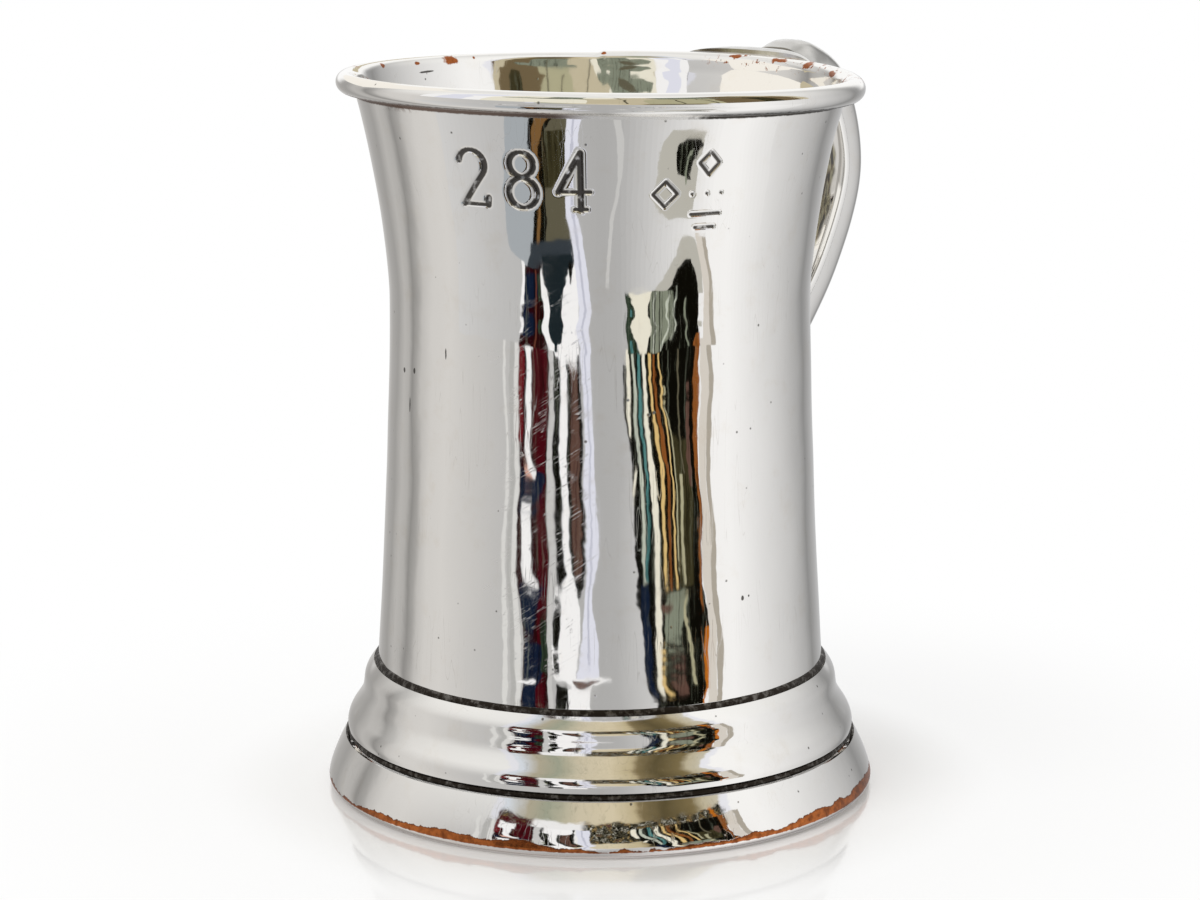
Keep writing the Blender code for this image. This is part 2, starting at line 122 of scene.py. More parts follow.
# The high panel's backing, from and to a height in millimetres, and between two turns
BACKING_HEIGHTS = (67.6, 97.0)
BACKING_TURNS = (-62.0, 70.0)
BACKING_STEP = 2.0

# Fineness of the meshes
BARREL_STEPS = 288
BASE_STEPS = 288
FLOOR_STEPS = 192
WIRE_STEPS = 192
CUTTER_STEPS = 240
OUTER_ROLL_STEPS = 12
INNER_ROLL_STEPS = 40
WALL_ROWS = 116
INNER_ROWS = 88
HANDLE_STATIONS = 64
ROOT_STATIONS = 26

# Struck marks: turns from the front in degrees, heights, and the half widths of thin and thick strokes
NUMERAL_TURNS = {"2": -31.5, "8": -18.6, "4": -6.4}
NUMERAL_FOOT = 91.0 * MM
NUMERAL_MIDDLE = 2.5 * MM
NUMERAL_STROKES = (0.34 * MM, 0.62 * MM)
STAMP_TURN = 26.3
STAMP_MIDDLE = 93.0 * MM
STAMP_STROKES = (0.32 * MM, 0.36 * MM)
STAMP_SHARE = 0.85
STRIKE_RADIUS = 33.8 * MM
STRUCK_FROM = 86.0 * MM
STRUCK_TO = 102.0 * MM

# Wear of the barrel: how far the lip sags and round which turn, the wall's broad and fine waves,
# and where these die out
LIP_SAG = 1.1 * MM
LIP_SAG_TURN = 80.0
LIP_SAG_LEFT = 75.0
LIP_SAG_RIGHT = 45.0
SAG_FROM = 96.0 * MM
SAG_OVER = 9.0 * MM
BROAD_WAVES = 3.4
BROAD_HEIGHT = 13.0 * MM
FINE_WAVES = 7.5
FINE_HEIGHT = 5.5 * MM
WAVES_FADE_LOW = 4.0 * MM
WAVES_FADE_FROM = 102.0 * MM
WAVES_FADE_OVER = 3.0 * MM
BEAD_SWELL = 0.14
ROOT_SAG_REACH = 50.0 * MM
ROOT_SAG_OVER = 8.0 * MM

# Solder runs in the two seams: middle of the section, half its width and half its height
UPPER_SOLDER = ((33.7 * MM, 18.9 * MM), 0.62 * MM, 0.98 * MM)
LOWER_SOLDER = ((37.95 * MM, 8.1 * MM), 0.55 * MM, 0.55 * MM)
SOLDER_RAGGED = 0.12 * MM

# Depth of relief that the finishes bring by bump
PLATE_RELIEF = 0.02 * MM
WORN_RELIEF = 0.03 * MM
HANDLE_RELIEF = 0.025 * MM
SOLDER_RELIEF = 0.08 * MM


def linear(red, green, blue):
    """Turns a colour as seen on a screen, 0 to 255, into a light level."""
    return tuple((c / 255.0) ** 2.2 for c in (red, green, blue))


class MugSizes(bpy.types.PropertyGroup):
    """Main sizes of the mug."""

    brim_height: bpy.props.FloatProperty(
        name="Brim height", description="Top of the rolled lip above the table",
        default=BARREL_HIGH[2], unit='LENGTH')
    lip_radius: bpy.props.FloatProperty(
        name="Lip radius", description="Outer radius of the rolled lip",
        default=(BARREL_HIGH[1] - BARREL_LOW[1]) / 2, unit='LENGTH')
    bead_radius: bpy.props.FloatProperty(
        name="Bead radius", description="Radius of the rolled lip's own section",
        default=1.5 * MM, unit='LENGTH')
    sheet: bpy.props.FloatProperty(
        name="Sheet", description="Thickness of the barrel's sheet",
        default=0.6 * MM, unit='LENGTH')
    waist_height: bpy.props.FloatProperty(
        name="Waist height", description="Height of the narrowest place",
        default=75.0 * MM, unit='LENGTH')
    waist_radius: bpy.props.FloatProperty(
        name="Waist radius", description="Outer radius at the narrowest place",
        default=31.4 * MM, unit='LENGTH')
    shoulder_height: bpy.props.FloatProperty(
        name="Shoulder height", description="Height of the wall's lower end",
        default=SKIRT_HIGH[2] + 0.9 * MM, unit='LENGTH')
    shoulder_radius: bpy.props.FloatProperty(
        name="Shoulder radius", description="Outer radius at the wall's lower end",
        default=33.8 * MM, unit='LENGTH')
    skirt_top_radius: bpy.props.FloatProperty(
        name="Skirt top radius", description="Radius where the skirt meets the barrel",
        default=34.4 * MM, unit='LENGTH')
    foot_top_radius: bpy.props.FloatProperty(
        name="Foot top radius", description="Outer radius of the foot ring's upper edge",
        default=38.95 * MM, unit='LENGTH')
    handle_width: bpy.props.FloatProperty(
        name="Handle width", description="Width of the handle at its upper end",
        default=10.8 * MM, unit='LENGTH')
    handle_width_end: bpy.props.FloatProperty(
        name="Handle width at the end", description="Width of the handle at its lower end",
        default=9.2 * MM, unit='LENGTH')
    handle_depth: bpy.props.FloatProperty(
        name="Handle depth", description="Depth of the handle at its upper end",
        default=7.4 * MM, unit='LENGTH')
    handle_depth_end: bpy.props.FloatProperty(
        name="Handle depth at the end", description="Depth of the handle at its lower end",
        default=6.75 * MM, unit='LENGTH')
    root_half_width: bpy.props.FloatProperty(
        name="Root half width", description="Half the width of the handle's root on the lip",
        default=15.5 * MM, unit='LENGTH')


class MugFinish(bpy.types.PropertyGroup):
    """Colours and wear of the mug."""

    silver: bpy.props.FloatVectorProperty(
        name="Silver", description="Colour of the clean plate", subtype='COLOR',
        default=(0.93, 0.915, 0.885), min=0.0, max=1.0)
    tarnish: bpy.props.FloatVectorProperty(
        name="Tarnish", description="Colour of the dark tarnish in seams and strokes",
        subtype='COLOR', default=(0.035, 0.028, 0.022), min=0.0, max=1.0)
    copper: bpy.props.FloatVectorProperty(
        name="Copper", description="Colour of the base metal where the plate is worn through",
        subtype='COLOR', default=(0.56, 0.17, 0.045), min=0.0, max=1.0)
    solder: bpy.props.FloatVectorProperty(
        name="Solder", description="Colour of the dull solder", subtype='COLOR',
        default=(0.42, 0.40, 0.37), min=0.0, max=1.0)
    polish: bpy.props.FloatProperty(
        name="Polish", description="Roughness of the cleanest plate", subtype='FACTOR',
        default=0.03, min=0.0, max=1.0)
    wave_depth: bpy.props.FloatProperty(
        name="Wave depth", description="How far the hammered and dented wall wanders",
        default=0.05 * MM, unit='LENGTH')
    strike_depth: bpy.props.FloatProperty(
        name="Strike depth", description="Depth of the punched numerals and marks",
        default=0.28 * MM, unit='LENGTH')


class MugStudio(bpy.types.PropertyGroup):
    """Camera, floor and light."""

    distance: bpy.props.FloatProperty(
        name="Distance", description="Distance of the camera from the mug's axis",
        default=0.4585, unit='LENGTH')
    height: bpy.props.FloatProperty(
        name="Height", description="Height of the camera above the table",
        default=0.1437, unit='LENGTH')
    pitch: bpy.props.FloatProperty(
        name="Pitch", description="How far the camera looks down", subtype='ANGLE',
        default=math.radians(11.46))
    roll: bpy.props.FloatProperty(
        name="Roll", description="How far the camera leans", subtype='ANGLE',
        default=0.0)
    lens: bpy.props.FloatProperty(
        name="Lens", description="Focal length in millimetres on a 36 mm wide sensor",
        default=92.91)
    lamp_power: bpy.props.FloatProperty(
        name="Lamp power", description="Power of the soft lamp in watts", default=5.0)
    floor_shade: bpy.props.FloatProperty(
        name="Floor shade", description="Lightness of the floor", subtype='FACTOR',
        default=0.96, min=0.0, max=1.0)


class Value:
    """A shader socket that can be used in sums and products."""

    def __init__(self, graph, socket):
        self.graph = graph
        self.socket = socket

    def __add__(self, other):
        return self.graph.maths('ADD', self, other)

    def __sub__(self, other):
        return self.graph.maths('SUBTRACT', self, other)

    def __rsub__(self, other):
        return self.graph.maths('SUBTRACT', other, self)

    def __mul__(self, other):
        return self.graph.maths('MULTIPLY', self, other)

    def __truediv__(self, other):
        return self.graph.maths('DIVIDE', self, other)

    __radd__ = __add__
    __rmul__ = __mul__


class Graph:
    """The node tree of one material or of the world."""

    def __init__(self, tree):
        self.tree = tree
        self.tree.nodes.clear()

    def node(self, kind, settings=None, inputs=None, stops=None, interpolation='LINEAR'):
        """Adds a node of any kind, with its settings, its ramp's stops and its inputs."""
        node = self.tree.nodes.new(kind)
        for name, value in (settings or {}).items():
            setattr(node, name, value)
        if stops:
            node.color_ramp.interpolation = interpolation
            self.set_stops(node.color_ramp, stops)
        for name, value in (inputs or {}).items():
            self.feed(node.inputs[name], value)
        return node

    def set_stops(self, ramp, stops):
        """Fills a colour ramp with (position, colour) stops."""
        while len(ramp.elements) > 1:
            ramp.elements.remove(ramp.elements[-1])
        for i, (position, colour) in enumerate(stops):
            stop = ramp.elements[0] if i == 0 else ramp.elements.new(position)
            stop.position = position
            stop.color = (*colour, 1.0)

    def feed(self, socket, value):
        """Links a socket, or sets it where the value is plain."""
        if isinstance(value, Value):
            self.tree.links.new(value.socket, socket)
        elif hasattr(socket.default_value, "__len__") and len(value) == 3:
            socket.default_value = (*value, 1.0) if len(socket.default_value) == 4 else value
        else:
            socket.default_value = value

    def out(self, node, output=0):
        """One output of a node as a value."""
        return Value(self, node.outputs[output])

    def maths(self, operation, *values):
        """One Math node."""
        settings = {"operation": operation}
        return self.out(self.node("ShaderNodeMath", settings, dict(enumerate(values))))

    def dot(self, vector, way):
        """How far a vector reaches along a fixed way."""
        settings = {"operation": 'DOT_PRODUCT'}
        node = self.node("ShaderNodeVectorMath", settings, {0: vector, 1: tuple(way)})
        return self.out(node, "Value")

    def vector(self, x=0.0, y=0.0, z=0.0):
        """Three values as one vector."""
        return self.out(self.node("ShaderNodeCombineXYZ", inputs={0: x, 1: y, 2: z}))

    def shifted(self, vector):
        """A place counted from the foot of the mug's own axis."""
        inputs = {0: vector, 1: (AXIS_X, 0.0, 0.0)}
        return self.out(self.node("ShaderNodeVectorMath", {"operation": 'SUBTRACT'}, inputs))

    def fade(self, value, low, high, start=0.0, end=1.0):
        """Smooth step from one level to another while the value passes from low to high."""
        settings = {"interpolation_type": 'SMOOTHSTEP'}
        inputs = {0: value, 1: low, 2: high, 3: start, 4: end}
        return self.out(self.node("ShaderNodeMapRange", settings, inputs))

    def between(self, value, low, high, soft):
        """1 where the value lies between two limits, with soft edges."""
        above = self.fade(value, low - soft, low + soft)
        below = self.fade(value, high - soft, high + soft, 1.0, 0.0)
        return above * below

    def mix(self, factor, a, b):
        """Mixes two colours."""
        node = self.node("ShaderNodeMix", {"data_type": 'RGBA'}, {0: factor, 6: a, 7: b})
        return self.out(node, 2)

    def noise(self, vector, scale, detail=2.0, roughness=0.5, distortion=0.0):
        """Soft noise between 0 and 1."""
        inputs = {"Vector": vector, "Scale": scale, "Detail": detail, "Roughness": roughness,
                  "Distortion": distortion}
        return self.out(self.node("ShaderNodeTexNoise", inputs=inputs))

    def cells(self, vector, scale):
        """Distance to the nearest of many scattered points."""
        inputs = {"Vector": vector, "Scale": scale}
        return self.out(self.node("ShaderNodeTexVoronoi", inputs=inputs), "Distance")

    def attribute(self, name):
        """A number that the mesh carries at each point."""
        return self.out(self.node("ShaderNodeAttribute", {"attribute_name": name}), "Fac")

    def bands(self, value, stops, interpolation='CONSTANT'):
        """Colours that change at given levels of a value."""
        low = stops[0][0]
        high = stops[-1][0]
        share = (value - low) * (1.0 / (high - low))
        places = [((level - low) / (high - low), colour) for level, colour in stops]
        return self.out(self.node("ShaderNodeValToRGB", None, {0: share}, places, interpolation))


def select_only(obj):
    """Deselects everything, then selects and activates one object."""
    bpy.ops.object.select_all(action='DESELECT')
    obj.select_set(True)
    bpy.context.view_layer.objects.active = obj


def start_drawing(name, point):
    """Starts a new object in edit mode as one vertex, by merging a small plane."""
    bpy.ops.object.select_all(action='DESELECT')
    bpy.ops.mesh.primitive_plane_add(size=MM, location=(0.0, 0.0, 0.0))
    obj = bpy.context.object
    obj.name = name
    obj.data.name = name
    bpy.ops.object.mode_set(mode='EDIT')
    bpy.ops.mesh.select_mode(type='VERT')
    bpy.ops.mesh.select_all(action='SELECT')
    bpy.ops.mesh.merge(type='CENTER')
    bpy.ops.transform.translate(value=point)
    return obj


def draw_to(points):
    """Extrudes the selected vertex from point to point."""
    for before, after in zip(points, points[1:]):
        step = {"value": Vector(after) - Vector(before)}
        bpy.ops.mesh.extrude_vertices_move(TRANSFORM_OT_translate=step)


def merge_and_face_out():
    """Merges doubles over the whole mesh in edit mode and turns its faces outwards."""
    bpy.ops.mesh.select_all(action='SELECT')
    bpy.ops.mesh.remove_doubles(threshold=0.001 * MM)
    bpy.ops.mesh.normals_make_consistent(inside=False)


def shade_smooth(obj, angle=35.0):
    """Shades smooth, with edges above the angle kept sharp."""
    select_only(obj)
    bpy.ops.object.shade_smooth_by_angle(angle=math.radians(angle))


def turned(name, outline, steps):
    """Draws an outline and spins it once round the mug's axis."""
    points = [(AXIS_X + r, 0.0, z) for r, z in outline]
    obj = start_drawing(name, points[0])
    draw_to(points)
    bpy.ops.mesh.select_all(action='SELECT')
    bpy.ops.mesh.spin(steps=steps, angle=math.tau, center=(AXIS_X, 0.0, 0.0),
                      axis=(0.0, 0.0, 1.0))
    merge_and_face_out()
    bpy.ops.object.mode_set(mode='OBJECT')
    return obj


def place_ring(bm, earlier, shift, ring):
    """Moves each vertex of the newly extruded ring, which lies shifted, to its point."""
    fresh = [vert for vert in bm.verts if vert.select]
    moves = []
    for before, after in zip(earlier, ring):
        guess = Vector(before) + shift
        nearest = min(fresh, key=lambda vert: (vert.co - guess).length_squared)
        moves.append((nearest, after))
    for vert, after in moves:
        vert.co = after


def lofted(name, rings):
    """Draws the first ring, fills it and extrudes it from station to station."""
    obj = start_drawing(name, rings[0][0])
    draw_to(rings[0] + [rings[0][0]])
    bpy.ops.mesh.select_all(action='SELECT')
    bpy.ops.mesh.remove_doubles(threshold=0.001 * MM)
    bpy.ops.mesh.edge_face_add()
    for earlier, ring in zip(rings, rings[1:]):
        shift = Vector(ring[0]) - Vector(earlier[0])
        bpy.ops.mesh.extrude_region_move(TRANSFORM_OT_translate={"value": shift})
        bm = bmesh.from_edit_mesh(obj.data)
        place_ring(bm, earlier, shift, ring)
        bmesh.update_edit_mesh(obj.data)
    merge_and_face_out()
    bpy.ops.object.mode_set(mode='OBJECT')
    return obj


def cut(obj, cutter, operation='DIFFERENCE'):
    """Takes the cutter out of a piece, or keeps what both share."""
    select_only(obj)
    modifier = obj.modifiers.new("cut", 'BOOLEAN')
    modifier.operation = operation
    modifier.solver = 'EXACT'
    modifier.object = cutter
    bpy.ops.object.modifier_apply(modifier="cut")
    bpy.ops.object.mode_set(mode='EDIT')
    bpy.ops.mesh.select_mode(type='VERT')
    bpy.ops.mesh.select_all(action='SELECT')
    bpy.ops.mesh.remove_doubles(threshold=0.004 * MM)
    bpy.ops.mesh.dissolve_degenerate(threshold=0.001 * MM)
    bpy.ops.object.mode_set(mode='OBJECT')


def remove(obj):
    """Deletes a tool that isn't part of the mug."""
    bpy.data.objects.remove(obj, do_unlink=True)


def settle(obj, node, material):
    """Gives a piece its material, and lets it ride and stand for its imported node."""
    obj.data.materials.clear()
    obj.data.materials.append(material)
    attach(obj, "root")
    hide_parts(node)


def turn_of(x, y):
    """Turn of a point round the mug's axis from its front, in degrees."""
    place = Vector((x - AXIS_X, y, 0.0))
    return math.degrees(math.atan2(place.dot(RIGHT_WAY), place.dot(FRONT_WAY)))


def ease(t):
    """Smooth step from 0 to 1."""
    t = min(max(t, 0.0), 1.0)
    return t * t * (3.0 - 2.0 * t)


def arc(centre, radius, start, end, steps):
    """Points on a circle from one angle to another, both ends included."""
    return [(centre[0] + radius * math.cos(start + (end - start) * i / steps),
             centre[1] + radius * math.sin(start + (end - start) * i / steps))
            for i in range(steps + 1)]


def offset(line, distance):
    """Moves an open line to the left of its travel."""
    moved = []
    for i, (r, z) in enumerate(line):
        before = Vector(line[max(i - 1, 0)])
        after = Vector(line[min(i + 1, len(line) - 1)])
        way = (after - before).normalized()
        moved.append((r - way.y * distance, z + way.x * distance))
    return moved


def barrel_radius(sizes, z):
    """Radius of the middle of the barrel's sheet between the shoulder and the roll."""
    waist = sizes.waist_radius - sizes.sheet / 2
    if z < sizes.waist_height:
        share = (sizes.waist_height - z) / (sizes.waist_height - sizes.shoulder_height)
        taper = sizes.shoulder_radius - sizes.waist_radius
        return waist + taper * share ** LOWER_TAPER_POWER
    roll = sizes.bead_radius - sizes.sheet / 2
    mouth = sizes.lip_radius - sizes.bead_radius + roll * math.cos(ROLL_START)
    rise = sizes.brim_height - sizes.bead_radius + roll * math.sin(ROLL_START) - sizes.waist_height
    power = math.tan(math.pi - ROLL_START) * rise / (mouth - waist)
    return waist + (mouth - waist) * ((z - sizes.waist_height) / rise) ** power


def wall_line(sizes, rows):
    """Middle of the barrel's wall from the shoulder up to where the roll begins."""
    roll = sizes.bead_radius - sizes.sheet / 2
    top = sizes.brim_height - sizes.bead_radius + roll * math.sin(ROLL_START)
    low = sizes.shoulder_height
    heights = [low + (top - low) * i / rows for i in range(rows)]
    return [(barrel_radius(sizes, z), z) for z in heights]


def lower_line(sizes):
    """Middle of the spigot and the ledge, up to the shoulder."""
    spigot = SPIGOT_RADIUS - sizes.sheet / 2
    shoulder = sizes.shoulder_radius - sizes.sheet / 2
    turn = (shoulder - spigot) / 2
    ledge = sizes.shoulder_height - LEDGE_DROP
    line = [(spigot, BARREL_LOW[2]), (spigot, (BARREL_LOW[2] + ledge) / 2)]
    line += arc((spigot + turn, ledge - turn), turn, math.pi, math.pi / 2, 4)
    line += arc((shoulder - turn, ledge + turn), turn, -math.pi / 2, 0.0, 4)[1:]
    return line


def roll_line(sizes, steps):
    """Middle of the sheet where it is rolled over its wire."""
    centre = (sizes.lip_radius - sizes.bead_radius, sizes.brim_height - sizes.bead_radius)
    return arc(centre, sizes.bead_radius - sizes.sheet / 2, ROLL_START, ROLL_END, steps)


def barrel_outline(sizes):
    """Closed section of the barrel, finer outside than inside."""
    lower = lower_line(sizes)
    outer = lower + wall_line(sizes, WALL_ROWS) + roll_line(sizes, OUTER_ROLL_STEPS)
    inner = lower + wall_line(sizes, INNER_ROWS) + roll_line(sizes, INNER_ROLL_STEPS)
    outline = offset(outer, -sizes.sheet / 2) + offset(inner, sizes.sheet / 2)[::-1]
    return outline + [outline[0]]


def wall_wave(turn, z, depth):
    """How far the uneven wall stands out at a place."""
    angle = math.radians(turn)
    broad = Vector((math.cos(angle) * BROAD_WAVES, math.sin(angle) * BROAD_WAVES, z / BROAD_HEIGHT))
    fine = Vector((math.cos(angle) * FINE_WAVES, math.sin(angle) * FINE_WAVES, z / FINE_HEIGHT + 40.0))
    return depth * (noise.noise(broad) * 1.6 + noise.noise(fine) * 0.42)


def lip_sag(turn):
    """How far the knocked lip lies below its true height, which is most on the right."""
    spread = LIP_SAG_LEFT if turn < LIP_SAG_TURN else LIP_SAG_RIGHT
    around = (turn - LIP_SAG_TURN + 180.0) % 360.0 - 180.0
    return LIP_SAG * math.exp(-(around / spread) ** 2)


def stroke_depth(ratio):
    """Share of the full depth, from the distance to a stroke over the stroke's half width."""
    return ease(1.3 - ratio)


def nearest_stroke(point, line, thin, thick):
    """Distance to a line over its half width there, which is thick where the line stands up."""
    best = 9.0
    for a, b in zip(line, line[1:]):
        way = b - a
        share = min(max((point - a).dot(way) / way.length_squared, 0.0), 1.0)
        half_width = thin + (thick - thin) * abs(way.y) / way.length
        best = min(best, (point - a - way * share).length / half_width)
    return best


def numeral_lines():
    """Strokes of each numeral, in metres from its lower left corner."""
    two = arc((2.45, 6.15), 2.1, math.radians(165), math.radians(-38), 14)
    two += [(0.55, 0.5), (4.6, 0.5), (4.75, 1.5)]
    four = [(3.6, 0.3), (3.6, 8.35), (0.45, 2.75), (5.0, 2.75)]
    foot_bar = [(2.7, 0.3), (4.5, 0.3)]
    upper_ring = arc((2.5, 6.5), 1.75, 0.0, math.tau, 20)
    lower_ring = arc((2.5, 2.45), 2.1, 0.0, math.tau, 24)
    strokes = {"2": [two], "8": [upper_ring, lower_ring], "4": [four, foot_bar]}
    return {name: [[Vector(p) * MM for p in line] for line in lines]
            for name, lines in strokes.items()}


def stamp_lines():
    """Strokes of the small stamp, in metres from its middle."""
    lozenge = [(0.0, 1.7), (1.5, 0.0), (0.0, -1.7), (-1.5, 0.0), (0.0, 1.7)]
    lines = [[(x, y + 4.6) for x, y in lozenge]]
    lines += [[(x, 0.2), (x + 0.01, 0.2)] for x in (-2.3, 0.0, 2.3)]
    lines += [[(-2.3, -2.7), (2.3, -2.7)], [(-1.5, -4.6), (1.5, -4.6)]]
    lines += [[(-6.3, -1.5), (-4.5, 0.3), (-6.3, 2.1), (-8.1, 0.3), (-6.3, -1.5)]]
    return [[Vector(p) * MM for p in line] for line in lines]


def strike_share(turn, z, numerals, stamp):
    """How deep the punches went at a place, from 0 to 1."""
    share = 0.0
    for name, lines in numerals.items():
        across = math.radians(turn - NUMERAL_TURNS[name]) * STRIKE_RADIUS + NUMERAL_MIDDLE
        point = Vector((across, z - NUMERAL_FOOT))
        if -1.5 * MM < across < 6.5 * MM and -1.5 * MM < point.y < 10.5 * MM:
            ratio = min(nearest_stroke(point, line, *NUMERAL_STROKES) for line in lines)
            share = max(share, stroke_depth(ratio))
    across = math.radians(turn - STAMP_TURN) * STRIKE_RADIUS
    point = Vector((across, z - STAMP_MIDDLE))
    if abs(across) < 10.0 * MM and abs(point.y) < 8.0 * MM:
        ratio = min(nearest_stroke(point, line, *STAMP_STROKES) for line in stamp)
        share = max(share, STAMP_SHARE * stroke_depth(ratio))
    return share


def refine_marks(obj):
    """Subdivides the outer wall where the marks are struck."""
    select_only(obj)
    bpy.ops.object.mode_set(mode='EDIT')
    bpy.ops.mesh.select_mode(type='FACE')
    bpy.ops.mesh.select_all(action='DESELECT')
    bm = bmesh.from_edit_mesh(obj.data)
    for face in bm.faces:
        centre = face.calc_center_median()
        turn = turn_of(centre.x, centre.y)
        outward = face.normal.dot(Vector((centre.x - AXIS_X, centre.y, 0.0))) > 0.0
        numerals = -38.0 < turn < 1.0 and 90.0 * MM < centre.z < 101.0 * MM
        stamp = 10.0 < turn < 32.0 and 87.5 * MM < centre.z < 100.5 * MM
        face.select = outward and (numerals or stamp)
    bmesh.update_edit_mesh(obj.data)
    bpy.ops.mesh.subdivide(number_cuts=3)
    bpy.ops.object.mode_set(mode='OBJECT')


def knock_barrel(obj, sizes, finish):
    """Gives the barrel its waves, its sagging lip and its struck marks."""
    strike = obj.data.attributes.new("strike", 'FLOAT', 'POINT')
    level = obj.data.attributes.new("level", 'FLOAT', 'POINT')
    numerals = numeral_lines()
    stamp = stamp_lines()
    bead_height = sizes.brim_height - sizes.bead_radius
    bead_radius = sizes.lip_radius - sizes.bead_radius
    for vert in obj.data.vertices:
        x, y, z = vert.co
        level.data[vert.index].value = z / MM
        radius = math.hypot(x - AXIS_X, y)
        way = Vector((x - AXIS_X, y, 0.0)) / radius
        turn = turn_of(x, y)
        quiet = ease((z - sizes.shoulder_height) / WAVES_FADE_LOW)
        quiet *= 1.0 - ease((z - WAVES_FADE_FROM) / WAVES_FADE_OVER)
        move = way * wall_wave(turn, z, finish.wave_depth) * quiet
        outside = radius > barrel_radius(sizes, min(z, bead_height - 0.5 * MM))
        if outside and STRUCK_FROM < z < STRUCK_TO:
            share = strike_share(turn, z, numerals, stamp)
            move -= way * finish.strike_depth * share
            strike.data[vert.index].value = share
        near_bead = math.hypot(radius - bead_radius, z - bead_height) < 1.02 * sizes.bead_radius
        if near_bead:
            swell = BEAD_SWELL * ease((turn + 60.0) / 120.0) * ease((200.0 - turn) / 60.0)
            move += way * (radius - bead_radius) * swell
            move.z += (z - bead_height) * swell
        move.z -= lip_sag(turn) * ease((z - SAG_FROM) / SAG_OVER)
        vert.co += move


def make_barrel(sizes, finish):
    """The barrel: turned, knocked and struck."""
    obj = turned("barrel_skin", barrel_outline(sizes), BARREL_STEPS)
    refine_marks(obj)
    knock_barrel(obj, sizes, finish)
    shade_smooth(obj, 50.0)
    settle(obj, "barrel", barrel_finish(finish))


def make_wire(finish):
    """The drawn wire inside the rolled lip, which sags with the lip."""
    radius = (WIRE_HIGH[2] - WIRE_LOW[2]) / 2
    centre = ((WIRE_HIGH[1] - WIRE_LOW[1]) / 2 - radius, (WIRE_HIGH[2] + WIRE_LOW[2]) / 2)
    obj = turned("rim_wire_skin", arc(centre, radius, 0.0, math.tau, 16), WIRE_STEPS)
    for vert in obj.data.vertices:
        vert.co.z -= lip_sag(turn_of(vert.co.x, vert.co.y))
    shade_smooth(obj)
    settle(obj, "rim_wire", wire_finish(finish))


def floor_outline():
    """Closed section of the mug's floor, from the axis out and back."""
    radius = FLOOR_HIGH[1]
    top = FLOOR_HIGH[2] - FLOOR_DOME
    dome_radius = radius - FLOOR_RIM_WIDTH
    line = []
    for i in range(25):
        share = i / 24
        line.append((dome_radius * share, top + FLOOR_DOME * (1.0 - share ** 2)))
    line += [(radius - 3.4 * MM, top), (radius - 0.15 * MM, top), (radius, top - 0.15 * MM)]
    line += [(radius, FLOOR_LOW[2] + 0.4 * MM), (radius - 0.4 * MM, FLOOR_LOW[2])]
    thickness = top - FLOOR_LOW[2]
    for i in range(12, -1, -1):
        share = i / 12
        rise = FLOOR_DOME * (1.0 - share ** 2)
        line.append((dome_radius * share, top - thickness + rise))
    return line


def make_floor(finish):
    """The floor inside the barrel."""
    obj = turned("floor_skin", floor_outline(), FLOOR_STEPS)
    shade_smooth(obj)
    settle(obj, "floor_disc", base_finish("floor silver", finish))


def skirt_line(sizes):
    """Outer face of the skirt from its top edge down to its bottom edge."""
    points = [Vector((sizes.skirt_top_radius + out * MM, SKIRT_HIGH[2] - drop * MM, 0.0))
              for out, drop in SKIRT_PROFILE]
    return [(point.x, point.y) for point in catmull_rom(points, 4)]


def foot_line(sizes):
    """Outer face of the foot ring from its top edge to the inner edge of its flange."""
    top = FOOT_HIGH[2]
    line = []
    for i in range(25):
        share = i / 24
        spread = FOOT_SPREAD * (1.0 - (1.0 - share) ** FOOT_SPREAD_POWER)
        line.append((sizes.foot_top_radius + spread, top + (FOOT_EDGE_HEIGHT - top) * share))
    tuck = FOOT_EDGE_HEIGHT
    edge = sizes.foot_top_radius + FOOT_SPREAD
    line += arc((edge - tuck, tuck), tuck, 0.0, -math.pi / 2, 10)[1:]
    line += [(edge - tuck - FOOT_FLANGE_WIDTH / 2, 0.0), (edge - tuck - FOOT_FLANGE_WIDTH, 0.0)]
    return line


def knock_ring(obj, depth, seed):
    """Lets a pressed ring wander a little from the true round."""
    for vert in obj.data.vertices:
        x, y, z = vert.co
        way = Vector((x - AXIS_X, y, 0.0)).normalized()
        place = Vector((way.x * 2.6, way.y * 2.6, z / (6.0 * MM) + seed))
        fine = Vector((way.x * 9.0, way.y * 9.0, z / (3.0 * MM) + seed))
        vert.co += way * depth * (noise.noise(place) + 0.25 * noise.noise(fine))


def make_skirt(sizes, finish):
    """The pressed skirt."""
    line = skirt_line(sizes)
    outline = line + offset(line, -SKIRT_SHEET)[::-1]
    obj = turned("skirt_skin", outline + [outline[0]], BASE_STEPS)
    knock_ring(obj, 0.05 * MM, 3.0)
    shade_smooth(obj)
    settle(obj, "skirt_moulding", base_finish("skirt silver", finish))


def make_foot(sizes, finish):
    """The spread foot ring with its worn edge."""
    line = foot_line(sizes)
    outline = line + offset(line, -FOOT_SHEET)[::-1]
    obj = turned("foot_skin", outline + [outline[0]], BASE_STEPS)
    knock_ring(obj, 0.04 * MM, 11.0)
    shade_smooth(obj)
    settle(obj, "foot_ring", foot_finish(finish))


